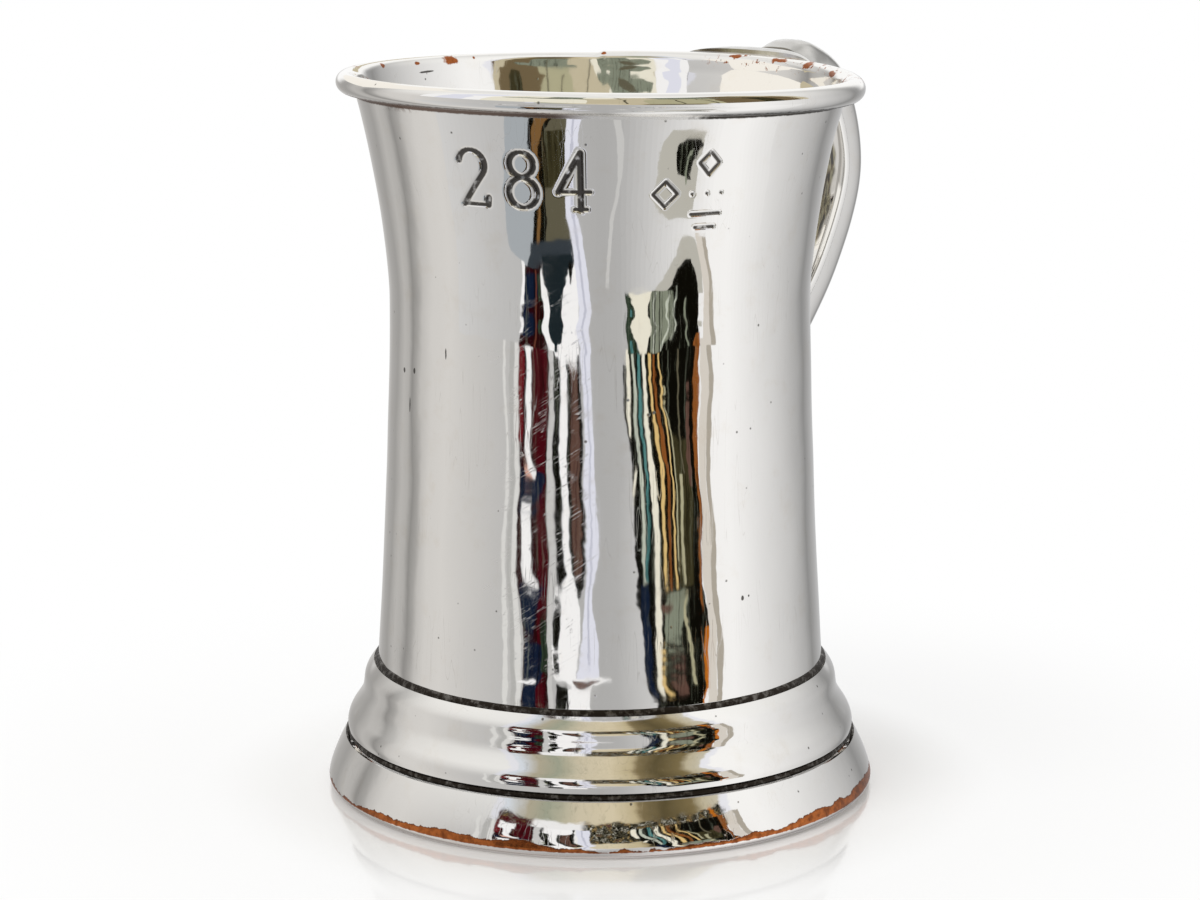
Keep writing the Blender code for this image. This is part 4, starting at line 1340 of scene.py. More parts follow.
# Strips on the three panels: a colour, and its outline as (height, left turn, right turn)
LOW_STRIPS = [
    (MIST, [(54.0, -47.4, -46.2), (38.9, -46.2, -44.8), (14.0, -46.6, -44.2), (-1.0, -45.0, -42.8)]),
    (ASH, [(54.0, -44.2, -41.8), (42.4, -43.8, -41.7), (16.0, -43.4, -41.0), (-1.1, -41.0, -38.9)]),
    (MIST, [(54.0, -41.8, -39.8), (42.4, -41.7, -39.6), (28.7, -41.4, -39.2),
        (16.1, -41.0, -37.8), (-1.1, -38.9, -36.6)]),
    (BLACK_RED, [(54.3, -39.7, -24.6), (47.3, -38.9, -24.4), (37.1, -39.0, -24.2),
        (32.5, -39.3, -24.1), (23.2, -38.8, -23.8), (16.9, -37.0, -23.5), (8.9, -36.0, -23.2),
        (-0.3, -35.9, -22.9)]),
    (MAROON, [(54.1, -33.0, -25.6), (43.2, -32.2, -24.8), (37.4, -30.0, -24.7),
        (23.5, -29.0, -24.2), (10.7, -29.4, -24.7), (-0.0, -29.3, -24.7)]),
    (NAVY, [(36.4, -39.0, -29.5), (34.1, -38.9, -24.6), (30.1, -38.7, -30.3)]),
    (NAVY, [(20.1, -37.1, -24.1), (17.4, -36.5, -28.8), (10.2, -35.6, -31.3)]),
    (NAVY, [(8.9, -35.5, -23.7), (-0.5, -35.4, -28.8)]),
    (DEEP_GREEN, [(15.6, -27.2, -24.4), (10.8, -27.5, -23.8), (6.0, -26.8, -23.6)]),
    (RED, [(53.3, -39.6, -37.1), (42.7, -39.3, -37.3)]),
    (PINK, [(37.6, -37.0, -31.5), (34.4, -35.4, -29.5)]),
    (WHITE, [(53.7, -38.1, -32.0), (53.0, -36.5, -33.5), (47.2, -35.9, -33.4),
        (41.5, -35.7, -33.2), (38.3, -35.0, -32.1), (36.4, -33.5, -30.0), (34.5, -30.9, -29.5)]),
    (WHITE, [(30.9, -37.7, -31.3), (29.3, -37.2, -32.2), (23.0, -36.3, -31.9),
        (20.8, -34.7, -29.4), (19.5, -31.7, -28.4)]),
    (WHITE, [(5.2, -36.2, -30.5), (3.8, -38.6, -28.6), (2.7, -35.1, -30.9)]),
    (SILVER_GREY, [(54.1, -24.6, -22.1), (44.9, -24.4, -22.0), (33.1, -23.6, -21.2),
        (23.8, -23.8, -20.5), (14.2, -23.9, -21.6), (0.3, -23.3, -21.1)]),
    (DARK, [(54.3, -22.1, -9.2), (45.1, -22.0, -9.1), (33.3, -20.7, -8.5), (27.2, -20.1, -6.6),
        (22.5, -20.4, -7.0), (19.1, -18.5, -8.8)]),
    (BROWN, [(53.7, -14.4, -10.6), (42.3, -14.3, -10.5), (33.4, -13.6, -9.9),
        (27.3, -12.1, -8.0), (21.9, -11.6, -8.4)]),
    (WHITE, [(54.6, -21.2, -10.1), (53.9, -20.2, -14.9), (53.2, -19.2, -15.8),
        (42.2, -19.0, -15.7), (33.3, -17.9, -15.1), (27.2, -16.8, -13.5), (22.6, -15.3, -12.5),
        (19.1, -17.5, -10.2)]),
    (WHITE, [(19.3, -20.3, -10.2), (16.1, -21.2, -9.2), (11.3, -21.4, -9.1), (7.3, -21.3, -10.4),
        (4.2, -19.8, -11.7)]),
    (DARK, [(18.1, -20.3, -18.0), (16.0, -21.2, -17.4), (11.2, -21.0, -17.8),
        (9.4, -20.0, -18.6)]),
    (DARK, [(8.6, -20.9, -18.2), (6.3, -20.4, -18.1), (5.7, -19.4, -18.5)]),
    (PALE_BLUE, [(54.7, -8.7, -3.9), (45.2, -8.1, -3.9), (33.5, -8.0, -2.9), (29.0, -6.6, -1.1),
        (24.3, -6.1, -2.0), (18.0, -7.4, -3.8), (11.6, -8.2, -1.5), (6.4, -10.4, -1.0)]),
    (LAVENDER, [(54.7, -6.8, -6.1), (45.2, -6.3, -5.5), (33.5, -5.7, -5.0), (24.3, -4.7, -3.8),
        (18.0, -6.0, -5.1), (8.4, -6.0, -5.1)]),
    (WHITE, [(6.4, -12.6, -1.0), (5.2, -15.8, 5.7), (4.4, -15.3, 2.5), (3.5, -14.4, -0.1),
        (2.4, -12.6, -1.9), (0.8, -17.9, -4.5)]),
    (BROWN, [(5.1, -12.2, -0.1), (3.8, -11.7, -2.8), (2.4, -9.0, -4.6)]),
    (DARK, [(3.2, -19.3, -14.8), (0.6, -19.7, -13.9)]),
    (DARK, [(54.2, 12.2, 48.4), (53.2, 10.3, 48.3), (52.3, 9.8, 48.3), (42.9, 12.6, 47.9),
        (35.4, 15.3, 48.0), (29.2, 16.6, 48.7), (22.8, 18.3, 48.8), (20.0, 17.3, 49.1),
        (16.3, 19.5, 49.8), (11.0, 20.8, 51.5), (3.1, 22.3, 50.8), (-0.1, 24.9, 48.9),
        (-1.1, 25.8, 47.8)]),
    (NAVY, [(20.7, 19.6, 22.9), (11.0, 20.7, 23.9), (1.0, 24.5, 27.2)]),
    (CREAM, [(53.2, 11.3, 13.1), (47.9, 12.2, 14.0), (43.4, 13.3, 14.6)]),
    (CREAM, [(36.3, 16.1, 17.4), (31.5, 15.5, 16.8)]),
    (PALE_GREEN, [(54.4, 14.6, 16.0), (43.6, 16.5, 18.2), (36.2, 18.7, 20.4), (23.8, 21.2, 22.5),
        (21.0, 20.4, 22.6)]),
    (TEAL, [(54.6, 17.6, 18.8), (47.8, 18.1, 19.6), (37.6, 21.6, 22.8), (30.0, 22.4, 23.6),
        (21.4, 21.7, 22.8)]),
    (CREAM, [(54.3, 19.8, 21.4), (47.7, 20.8, 22.7), (42.0, 22.7, 24.9), (36.0, 23.6, 26.1),
        (29.8, 24.8, 27.4), (23.5, 25.9, 27.7), (17.2, 25.6, 27.5), (9.1, 25.9, 28.4),
        (1.6, 28.6, 30.1)]),
    (GOLD, [(54.1, 23.1, 24.5), (47.5, 24.9, 26.3), (41.8, 27.2, 28.6), (35.8, 28.5, 29.9),
        (26.5, 29.2, 30.5), (20.1, 29.7, 30.8)]),
    (RUST, [(53.9, 25.5, 26.5), (44.6, 28.2, 29.8), (32.6, 31.2, 32.3), (20.0, 32.2, 33.2)]),
    (GOLD, [(53.6, 28.3, 29.1), (44.5, 31.6, 32.4), (32.4, 33.6, 34.4), (20.5, 35.1, 36.2)]),
    (OLIVE, [(42.7, 33.9, 43.1), (32.0, 36.0, 44.2), (22.5, 37.0, 44.6), (19.6, 37.9, 44.4)]),
    (PALE_OLIVE, [(35.5, 38.1, 39.8), (29.0, 38.2, 39.6), (21.0, 39.2, 40.6)]),
    (PALE_OLIVE, [(49.0, 31.0, 31.7), (42.0, 34.2, 34.9), (33.0, 35.6, 36.3), (24.0, 36.6, 37.4)]),
    (BROWN, [(48.0, 42.6, 44.2), (40.0, 42.4, 44.4), (33.0, 43.4, 44.4)]),
    (OLIVE_GREY, [(52.0, 37.4, 38.1), (44.0, 38.6, 39.4), (36.0, 40.6, 41.2)]),
    (GREY_GREEN, [(19.7, 32.4, 38.8), (16.5, 28.9, 42.1), (10.1, 29.6, 38.7), (8.3, 29.5, 36.6)]),
    (BROWN, [(16.8, 27.5, 31.3), (15.8, 27.5, 33.2), (14.7, 27.9, 31.2)]),
    (PALE_OLIVE, [(18.5, 40.1, 41.5), (12.9, 39.2, 40.6), (8.6, 41.0, 42.7), (3.3, 43.6, 45.3)]),
    (GOLD, [(8.2, 27.9, 29.6), (4.8, 29.6, 31.3), (1.7, 32.3, 34.4)]),
    (BROWN, [(7.1, 31.8, 38.5), (1.5, 36.2, 41.1)]),
    (RUST, [(53.8, 46.1, 48.4), (46.5, 45.9, 48.1), (34.6, 46.1, 48.0), (28.2, 47.4, 48.7),
        (21.8, 47.8, 48.8), (13.6, 48.2, 49.2)]),
    (ORANGE, [(10.4, 49.6, 52.1), (8.5, 48.9, 51.4), (1.9, 49.2, 50.8), (-1.9, 47.9, 48.8)]),
    (LINEN, [(53.6, 48.9, 52.6), (34.2, 48.6, 52.4), (21.4, 49.3, 53.2), (11.3, 51.1, 54.6),
        (-3.0, 50.3, 55.0)]),
    (TAUPE, [(53.5, 52.6, 54.8), (38.5, 52.4, 54.8), (21.1, 53.2, 55.8), (6.0, 55.2, 58.2),
        (-3.4, 55.0, 57.8)]),
]

HIGH_STRIPS = [
    (STEEL, [(89.4, -32.9, -23.3), (84.0, -34.4, -24.2), (78.0, -36.1, -24.0),
        (73.8, -35.7, -24.9), (71.5, -30.3, -26.9)]),
    (OLIVE_GREY, [(89.2, -21.5, -11.7), (87.9, -23.6, -11.2), (83.8, -22.4, -12.0),
        (77.9, -22.5, -12.6), (73.7, -23.3, -10.8)]),
    (DARK, [(88.7, -24.1, -13.4), (87.2, -24.9, -16.8), (83.9, -25.7, -20.6),
        (80.3, -25.1, -20.1), (76.9, -25.4, -20.4), (72.8, -26.3, -21.0)]),
    (OLIVE, [(85.2, -20.2, -12.0), (82.0, -20.4, -12.4), (79.4, -20.2, -12.6)]),
    (BRONZE, [(88.2, -22.6, -15.2), (87.2, -23.0, -18.6), (85.0, -24.2, -20.6),
        (82.4, -24.3, -22.4), (80.3, -23.6, -22.3), (76.9, -24.0, -22.8), (72.6, -24.9, -23.8)]),
    (STEEL_DARK, [(73.9, -26.9, -10.4), (72.8, -27.5, -10.1), (71.0, -29.5, -9.4)]),
    (BLACK_RED, [(71.7, -29.8, -17.2), (69.0, -31.6, -17.5), (67.7, -32.3, -15.0)]),
    (NAVY, [(71.2, -29.9, -21.7), (69.0, -31.1, -25.7), (68.7, -31.2, -27.3)]),
    (CHESTNUT, [(71.6, -25.6, -24.8), (70.0, -25.4, -24.7), (67.4, -26.0, -25.2)]),
    (DEEP_GREEN, [(71.2, -24.4, -22.4), (70.2, -24.2, -21.8), (69.2, -24.0, -22.0)]),
    (WHITE, [(72.0, -30.6, -29.4), (70.6, -30.8, -29.8), (69.0, -32.4, -30.8)]),
    (WHITE, [(71.6, -22.6, -8.8), (70.0, -22.8, -8.4), (69.0, -21.8, -8.2), (67.4, -20.4, -7.8)]),
    (INK, [(72.6, -22.6, -9.4), (71.7, -22.2, -10.6), (70.8, -21.4, -12.0), (70.3, -20.6, -13.0),
        (69.9, -19.9, -13.7), (69.5, -19.5, -14.1), (68.8, -19.1, -14.4), (68.4, -18.4, -15.0),
        (68.0, -17.4, -16.2)]),
    (DARK, [(71.8, -11.6, -9.6), (71.0, -11.6, -10.2), (70.3, -11.2, -10.8)]),
    (PALE_BLUE, [(89.1, -10.7, -6.0), (83.8, -12.0, -7.8), (77.9, -12.6, -8.6),
        (73.7, -10.0, -6.2), (70.2, -8.7, -4.4), (68.0, -7.1, -3.2)]),
    (LAVENDER, [(89.1, -8.7, -8.0), (83.8, -10.2, -9.5), (77.9, -10.8, -10.0),
        (73.7, -8.5, -7.7), (70.2, -7.1, -6.3), (68.0, -5.6, -4.8)]),
    (SILVER_GREY, [(89.1, 3.9, 6.5), (83.8, 5.8, 8.3), (80.2, 6.4, 7.8), (75.7, 4.0, 5.5),
        (70.2, 1.8, 3.0)]),
    (SMOKE, [(86.3, 24.9, 36.9), (82.7, 21.3, 36.6), (78.0, 20.3, 35.0), (76.3, 25.7, 33.9)]),
    (DARK, [(84.7, 30.2, 35.6), (84.0, 28.1, 36.6), (82.8, 26.9, 34.6), (81.5, 28.4, 32.7),
        (80.7, 31.7, 33.3)]),
    (SMOKE, [(74.2, 31.9, 37.0), (72.3, 28.2, 39.8), (69.8, 19.6, 41.4)]),
    (DARK, [(72.5, 33.6, 35.3), (71.7, 30.8, 36.8), (70.6, 28.1, 38.5), (69.5, 24.5, 39.6),
        (67.2, 23.6, 40.4)]),
    (DARK, [(69.6, 17.0, 30.0), (68.6, 18.0, 34.0), (67.2, 14.0, 38.0)]),
    (DEEP_GREEN, [(70.1, 9.2, 11.6), (69.2, 9.8, 13.2), (68.4, 10.4, 14.4), (67.2, 10.6, 15.0)]),
    (TEAL, [(69.0, 11.4, 12.4), (68.2, 11.8, 12.8), (67.4, 12.0, 13.2)]),
    (CREAM, [(70.2, 10.8, 25.0), (69.8, 11.8, 20.8), (69.2, 13.4, 19.2), (68.6, 14.6, 18.9),
        (67.2, 15.4, 18.4)]),
    (GREY_GREEN, [(70.3, 20.5, 29.5), (69.5, 19.8, 29.4), (68.6, 19.6, 27.4), (67.6, 19.6, 24.0)]),
    (PALE_GREEN, [(70.1, 21.6, 22.3), (69.2, 20.8, 21.5), (68.2, 20.6, 21.3)]),
    (PALE_GREEN, [(70.0, 27.6, 28.3), (69.4, 26.2, 27.0), (68.6, 25.0, 25.8), (67.4, 23.6, 24.4)]),
    (PALE_GREEN, [(70.9, 30.6, 31.2), (70.0, 30.4, 31.0), (69.2, 28.8, 29.5), (68.4, 27.4, 28.0)]),
    (GREY_GREEN, [(70.0, 34.2, 34.8), (69.0, 33.4, 34.1), (67.4, 34.4, 35.2)]),
    (RUST, [(68.9, 38.3, 40.2), (67.3, 36.8, 40.0)]),
    (LINEN, [(75.0, 36.6, 39.6), (72.0, 39.6, 43.0), (70.0, 41.6, 44.8), (67.3, 41.6, 45.2)]),
    (TAUPE, [(75.0, 39.6, 41.2), (72.0, 43.0, 44.6), (70.0, 44.8, 46.6), (67.3, 45.2, 47.2)]),
    (GREY_GREEN, [(80.4, 30.8, 31.6), (82.4, 30.2, 31.2), (84.0, 32.0, 33.0)]),
]

TOP_STRIPS = [
    (BEIGE, [(128.0, -36.0, 72.0), (140.0, -36.0, 72.0), (152.0, -36.0, 72.0)]),
    (CREAM, [(130.0, -38.0, -4.0), (136.0, -37.0, -6.0), (142.0, -36.0, -8.0), (150.0, -34.0, 6.0)]),
    (PALE_OLIVE, [(130.0, 14.0, 42.0), (140.0, 18.0, 42.0), (148.0, 22.0, 46.0)]),
    (DUN, [(128.0, 38.0, 68.0), (136.0, 40.0, 68.0), (141.0, 36.0, 67.0), (145.5, 42.0, 64.0)]),
    (OLIVE, [(128.0, 52.0, 60.0), (136.0, 52.0, 61.0), (141.0, 54.0, 60.0)]),
    (GREY_GREEN, [(145.6, 20.0, 54.0), (146.6, 16.0, 58.0), (148.4, 18.0, 56.0),
        (149.4, 22.0, 48.0)]),
    (GREY_GREEN, [(136.0, -32.0, -12.0), (139.0, -34.0, -8.0), (142.0, -30.0, -4.0),
        (145.0, -26.0, -2.0), (146.4, -20.0, -6.0)]),
    (OLIVE_GREY, [(137.0, -24.0, -20.0), (141.0, -22.0, -14.0), (144.0, -16.0, -12.0)]),
    (OLIVE_GREY, [(128.0, 34.6, 35.6), (138.0, 33.8, 34.8), (146.0, 35.0, 36.0)]),
    (OLIVE_GREY, [(128.0, 24.2, 25.0), (136.0, 25.6, 26.4), (143.0, 24.4, 25.2)]),
    (OLIVE_GREY, [(130.0, 7.2, 8.0), (138.0, 8.6, 9.4), (145.0, 7.0, 7.8)]),
    (WARM_WHITE, [(117.0, -147.0, -92.0), (124.0, -146.0, -86.0), (134.0, -142.0, -82.0),
        (146.0, -132.0, -78.0)]),
    (BEIGE, [(114.0, -160.0, -147.0), (118.0, -157.0, -145.0), (122.0, -153.0, -146.0)]),
    (WHITE, [(128.0, -58.0, -36.0), (140.0, -58.0, -37.0), (152.0, -58.0, -35.0)]),
    (PALE_BLUE, [(130.0, -52.0, -42.0), (138.0, -54.0, -46.0), (146.0, -52.0, -40.0)]),
]

# The room seen inside the mouth: (turn, colour), and below it (share of the clutter, colour)
ROOM_COLOURS = [(-52, linear(210, 212, 214)), (-44, linear(215, 222, 232)), (-34, linear(176, 168, 148)),
                (-24, linear(158, 162, 144)), (-10, linear(206, 196, 172)), (6, linear(214, 202, 174)),
                (17, linear(190, 176, 142)), (20, linear(128, 114, 84)), (30, linear(92, 82, 58)),
                (44, linear(124, 110, 78)), (49, linear(190, 180, 154)), (66, linear(215, 212, 200))]

CLUTTER_COLOURS = [(0.0, DARK), (0.36, OLIVE), (0.41, CREAM), (0.43, DARK), (0.50, OLIVE_GREY),
                   (0.53, DARK), (0.57, GOLD), (0.585, DARK), (0.62, BROWN), (0.66, STEEL_DARK),
                   (0.70, SILVER_GREY), (0.72, RUST), (0.76, DARK)]


def pale_level(turn):
    """Light of the plain tent at a turn from the front."""
    for (low, dim), (high, bright) in zip(PALE_TENT, PALE_TENT[1:]):
        if low <= turn <= high:
            return dim + (bright - dim) * (turn - low) / (high - low)
    raise ValueError("a turn lies between -180 and 180 degrees")


def panel_point(radius, turn, height):
    """A place on an upright round panel about the mug's axis."""
    angle = math.radians(turn)
    way = FRONT_WAY * math.cos(angle) + RIGHT_WAY * math.sin(angle)
    return Vector((AXIS_X, 0.0, height * MM)) + way * radius


def run_past_ends(rows):
    """Lengthens a strip that starts or ends near the end of its panel."""
    for low, high, panel_end in FIRST_ROW_ENDS:
        if low < rows[0].x < high:
            rows.insert(0, Vector((panel_end, rows[0].y, rows[0].z)))
    for low, high, panel_end in LAST_ROW_ENDS:
        if low < rows[-1].x < high:
            rows.append(Vector((panel_end, rows[-1].y, rows[-1].z)))
    return rows


def add_strip(bm, shade, radius, rows, colour):
    """Lays one coloured strip on a panel; its rows are height, left and right turn."""
    widest = max(right - left for height, left, right in rows)
    threaded = 1.0 if colour in THREADED else 0.0
    columns = max(1, math.ceil(widest / 2.0))
    rows = catmull_rom(run_past_ends([Vector(row) for row in rows]), 5)
    lines = []
    for height, left, right in rows:
        ragged = noise.noise(Vector((height * 0.5, colour[0] * 40.0, radius * 90.0))) * 0.35
        line = [panel_point(radius, left + ragged + (right - left) * i / columns, height)
                for i in range(columns + 1)]
        lines.append([bm.verts.new(point) for point in line])
    for lower, upper in zip(lines, lines[1:]):
        for i in range(columns):
            face = bm.faces.new((lower[i], lower[i + 1], upper[i + 1], upper[i]))
            for loop in face.loops:
                loop[shade] = (*colour, threaded)


def tent_turn_behind(left, radius):
    """Turn at which the tent is seen past a panel, found by settling step by step."""
    turn = left
    for _ in range(8):
        bend = math.asin(32.5 * MM / radius * math.sin(math.radians(turn / 2)))
        turn = left + BACKING_STEP / 2 + math.degrees(bend)
    return turn


def add_backing(bm, shade, radius, low, high):
    """Covers a panel with the plain tent's own light, so that only its strips stand out."""
    left = BACKING_TURNS[0]
    while left < BACKING_TURNS[1]:
        level = pale_level(tent_turn_behind(left, radius))
        right = left + BACKING_STEP
        corners = [panel_point(radius, turn, height) for turn, height in
                   ((left, low), (right, low), (right, high), (left, high))]
        face = bm.faces.new([bm.verts.new(corner) for corner in corners])
        for loop in face.loops:
            loop[shade] = (level, level, level * 1.01, 0.0)
        left = right


def panel_finish():
    """Lit cloth that shows each strip's own colour, with fine upright threads."""
    material = bpy.data.materials.new("lit panel")
    material.use_nodes = True
    material.cycles.emission_sampling = 'NONE'
    graph = Graph(material.node_tree)
    attribute = graph.node("ShaderNodeAttribute", {"attribute_name": "shade"})
    shade = graph.out(attribute, "Color")
    threaded = graph.out(attribute, "Alpha")
    place = graph.shifted(graph.out(graph.node("ShaderNodeTexCoord"), "Object"))
    turn = turn_from_front(graph, place)
    height = height_of(graph, place) / MM
    threads = graph.noise(graph.vector(turn * 1.3, height * 0.05, 0.0), 1.0, 4.0, 0.65)
    dark = graph.fade(threads, 0.54, 0.60) * threaded
    bright = graph.fade(threads, 0.36, 0.42, 1.0, 0.0) * threaded
    shade = graph.mix(dark * 0.75, shade, DARK)
    shade = graph.mix(bright * 0.4, shade, GREY_GREEN)
    light = graph.node("ShaderNodeEmission", inputs={"Color": shade, "Strength": 1.0})
    graph.node("ShaderNodeOutputMaterial", inputs={"Surface": graph.out(light)})
    return material


def make_panel(name, radius, strips, backing, material):
    """An upright round panel in front of the mug that only the metal sees."""
    bm = bmesh.new()
    shade = bm.loops.layers.float_color.new("shade")
    if backing:
        add_backing(bm, shade, radius, *backing)
    for i, (colour, rows) in enumerate(strips):
        add_strip(bm, shade, radius - 0.06 * MM * (i + 1), rows, colour)
    mesh = bpy.data.meshes.new(name)
    bm.to_mesh(mesh)
    bm.free()
    mesh.materials.append(material)
    panel = bpy.data.objects.new(name, mesh)
    bpy.context.collection.objects.link(panel)
    for ray in ("camera", "diffuse", "transmission", "volume_scatter", "shadow"):
        setattr(panel, "visible_" + ray, False)


def tent_light(graph, turn, rise):
    """Light of the pale tent, whiter high up and straight behind the mug."""
    stops = []
    for level, shade in PALE_TENT:
        warmth = 0.05 * ease((-30.0 - level) / 60.0)
        stops.append((level, (shade, shade * (1.0 - warmth * 0.4), shade * (1.01 - warmth))))
    tent = graph.bands(turn, stops, 'LINEAR')
    behind = graph.fade(graph.maths('ABSOLUTE', turn), 148.0, 162.0)
    tent = graph.mix(behind * graph.between(rise, 1.0, 45.0, 3.0), tent, (1.0, 1.0, 1.0))
    above = graph.fade(rise, 5.0, 50.0)
    return graph.mix(above * 0.7, tent, (1.0, 1.0, 0.99))


def room_light(graph, turn, rise, bent, ragged):
    """Colours of the room, with clutter low down."""
    room = graph.bands(bent, ROOM_COLOURS, 'LINEAR')
    cracks = graph.noise(graph.vector(turn * 0.30, rise * 0.05, 2.0), 1.0, 3.0, 0.6)
    cracks = graph.fade(graph.maths('ABSOLUTE', cracks - 0.5), 0.0, 0.008, 1.0, 0.0)
    room = graph.mix(cracks * 0.45, room, OLIVE_GREY)
    clutter_place = graph.vector(turn * 0.36, rise * 0.24, 9.0)
    clutter = graph.bands(graph.noise(clutter_place, 1.0, 3.0, 0.62, 0.3), CLUTTER_COLOURS)
    maroon_part = graph.between(turn, -46.0, -30.0, 1.5)
    pale_part = graph.between(turn, -30.0, -7.0, 1.5)
    clutter = graph.mix(pale_part * 0.92, clutter, WHITE)
    clutter = graph.mix(maroon_part * graph.fade(ragged, -0.1, 0.05), clutter, MAROON)
    clutter = graph.mix(graph.between(bent, 50.5, 53.0, 0.5), clutter, ORANGE)
    low_room = graph.between(rise + ragged * 6.0, 15.0, 31.0, 1.0)
    return graph.mix(low_room, room, clutter)


def in_opening(graph, bent, limits, low, high):
    """1 between the left and the right limit of the tent's opening."""
    left_limit, right_limit = limits
    return graph.fade(bent - left_limit, low, high) * graph.fade(right_limit - bent, low, high)


def white_to_camera(graph):
    """1 for what is seen directly or through glass."""
    rays = graph.node("ShaderNodeLightPath")
    seen = graph.out(rays, "Is Camera Ray") + graph.out(rays, "Is Transmission Ray")
    return graph.maths('MINIMUM', seen, 1.0)


def paint_world(world):
    """A pale tent with an opening towards a room, seen by the metal, on a white background."""
    world.use_nodes = True
    graph = Graph(world.node_tree)
    way = graph.out(graph.node("ShaderNodeTexCoord"), "Generated")
    turn = turn_from_front(graph, way)
    rise = graph.maths('ARCSINE', height_of(graph, way)) * math.degrees(1.0)
    wander = graph.noise(graph.vector(turn * 0.05, rise * 0.16, 0.0), 1.0, 3.0, 0.6) - 0.5
    ragged = graph.noise(graph.vector(turn * 0.2, rise * 0.5, 5.0), 1.0, 3.0, 0.6) - 0.5
    bent = turn + wander * 6.0 + ragged * 4.0
    limits = (graph.fade(rise, 17.0, 20.0, -28.0, -46.0), graph.fade(rise, 17.0, 20.0, 48.0, 57.0))
    halo = in_opening(graph, bent, limits, -5.0, -3.0) * graph.between(rise, 4.0, 62.0, 1.5)
    seen = graph.mix(halo * 0.6, tent_light(graph, turn, rise), PALE_BLUE)
    inside = in_opening(graph, bent, limits, -0.8, 0.8)
    inside = inside * graph.between(rise + ragged * 3.0, 5.0, 60.0, 1.5)
    seen = graph.mix(inside, seen, room_light(graph, turn, rise, bent, ragged))
    seen = graph.mix(white_to_camera(graph), seen, (1.0, 1.0, 1.0))
    light = graph.node("ShaderNodeBackground", inputs={"Color": seen, "Strength": 1.0})
    graph.node("ShaderNodeOutputWorld", inputs={"Surface": graph.out(light)})


def floor_finish(studio):
    """Plain pale glazed paper that looks white away from the mug and keeps its shadow."""
    material = bpy.data.materials.new("pale floor")
    material.use_nodes = True
    graph = Graph(material.node_tree)
    place = graph.out(graph.node("ShaderNodeTexCoord"), "Object")
    shade = studio.floor_shade
    colour = graph.mix(graph.noise(place, 9.0, 3.0) * 0.3, (shade, shade, shade),
                       (shade * 0.99, shade * 0.99, shade * 0.99))
    inputs = {"Base Color": colour, "Roughness": 0.2, "Specular IOR Level": 0.5,
              "Coat Weight": 1.0, "Coat Roughness": 0.06, "Coat IOR": 1.7}
    shader = graph.node("ShaderNodeBsdfPrincipled", inputs=inputs)
    away = distance_from_axis(graph, graph.shifted(place)) / MM
    plain = graph.fade(away, 45.0, 62.0, 0.0, 0.6) + graph.fade(away, 60.0, 130.0, 0.0, 0.4)
    plain = plain * white_to_camera(graph)
    white = graph.node("ShaderNodeEmission", inputs={"Color": (1.0, 1.0, 1.0), "Strength": 1.0})
    mixed = graph.node("ShaderNodeMixShader", inputs={0: plain, 1: graph.out(shader),
                                                      2: graph.out(white)})
    graph.node("ShaderNodeOutputMaterial", inputs={"Surface": graph.out(mixed)})
    return material


def lay_floor(studio):
    """The pale floor, which the metal doesn't see."""
    bpy.ops.object.select_all(action='DESELECT')
    bpy.ops.mesh.primitive_circle_add(vertices=96, radius=6.0, fill_type='NGON',
                                      location=(0.0, 0.0, 0.0))
    floor = bpy.context.object
    floor.name = "studio_floor"
    floor.data.materials.append(floor_finish(studio))
    floor.visible_glossy = False


def hang_lamp(studio, axis):
    """A large soft lamp, high up at the front left."""
    lamp_place = axis + FRONT_WAY * 0.55 - RIGHT_WAY * 0.6 + Vector((0.0, 0.0, 0.9))
    bpy.ops.object.light_add(type='AREA', location=lamp_place)
    lamp = bpy.context.object
    lamp.name = "soft_lamp"
    lamp.data.shape = 'DISK'
    lamp.data.size = 0.7
    lamp.data.energy = studio.lamp_power
    lamp.visible_glossy = False
    lamp.rotation_euler = (axis - lamp_place).to_track_quat('-Z', 'Y').to_euler()


def set_camera(studio, axis):
    """The camera, as solved from the photograph."""
    place = axis + FRONT_WAY * studio.distance
    place.z = studio.height
    bpy.ops.object.camera_add(location=place)
    camera = bpy.context.object
    camera.name = "studio_camera"
    camera.data.lens = studio.lens
    camera.data.sensor_width = 36.0
    camera.data.clip_end = 50.0
    facing = math.atan2(-FRONT_WAY.y, -FRONT_WAY.x) - math.pi / 2
    camera.rotation_euler = (math.pi / 2 - studio.pitch, studio.roll, facing)
    bpy.context.scene.camera = camera


def make_studio(studio):
    """Floor, soft lamp, camera and what the metal sees round itself."""
    axis = Vector((AXIS_X, 0.0, 0.0))
    lay_floor(studio)
    hang_lamp(studio, axis)
    set_camera(studio, axis)
    scene = bpy.context.scene
    scene.view_settings.view_transform = 'Standard'
    if scene.world is None:
        scene.world = bpy.data.worlds.new("studio")
    paint_world(scene.world)
    lit = panel_finish()
    make_panel("low_panel", LOW_PANEL_RADIUS, LOW_STRIPS, None, lit)
    make_panel("high_panel", HIGH_PANEL_RADIUS, HIGH_STRIPS, BACKING_HEIGHTS, lit)
    make_panel("top_panel", TOP_PANEL_RADIUS, TOP_STRIPS, None, lit)


class MUG_OT_barrel(bpy.types.Operator):
    """Builds the barrel with its rolled lip and struck marks"""

    bl_idname = "mug.barrel"
    bl_label = "Barrel"

    def execute(self, context):
        make_barrel(context.scene.mug_sizes, context.scene.mug_finish)
        return {'FINISHED'}


class MUG_OT_wire(bpy.types.Operator):
    """Builds the wire inside the rolled lip"""

    bl_idname = "mug.wire"
    bl_label = "Wire in the lip"

    def execute(self, context):
        make_wire(context.scene.mug_finish)
        return {'FINISHED'}


class MUG_OT_floor(bpy.types.Operator):
    """Builds the floor inside the barrel"""

    bl_idname = "mug.floor"
    bl_label = "Floor of the mug"

    def execute(self, context):
        make_floor(context.scene.mug_finish)
        return {'FINISHED'}


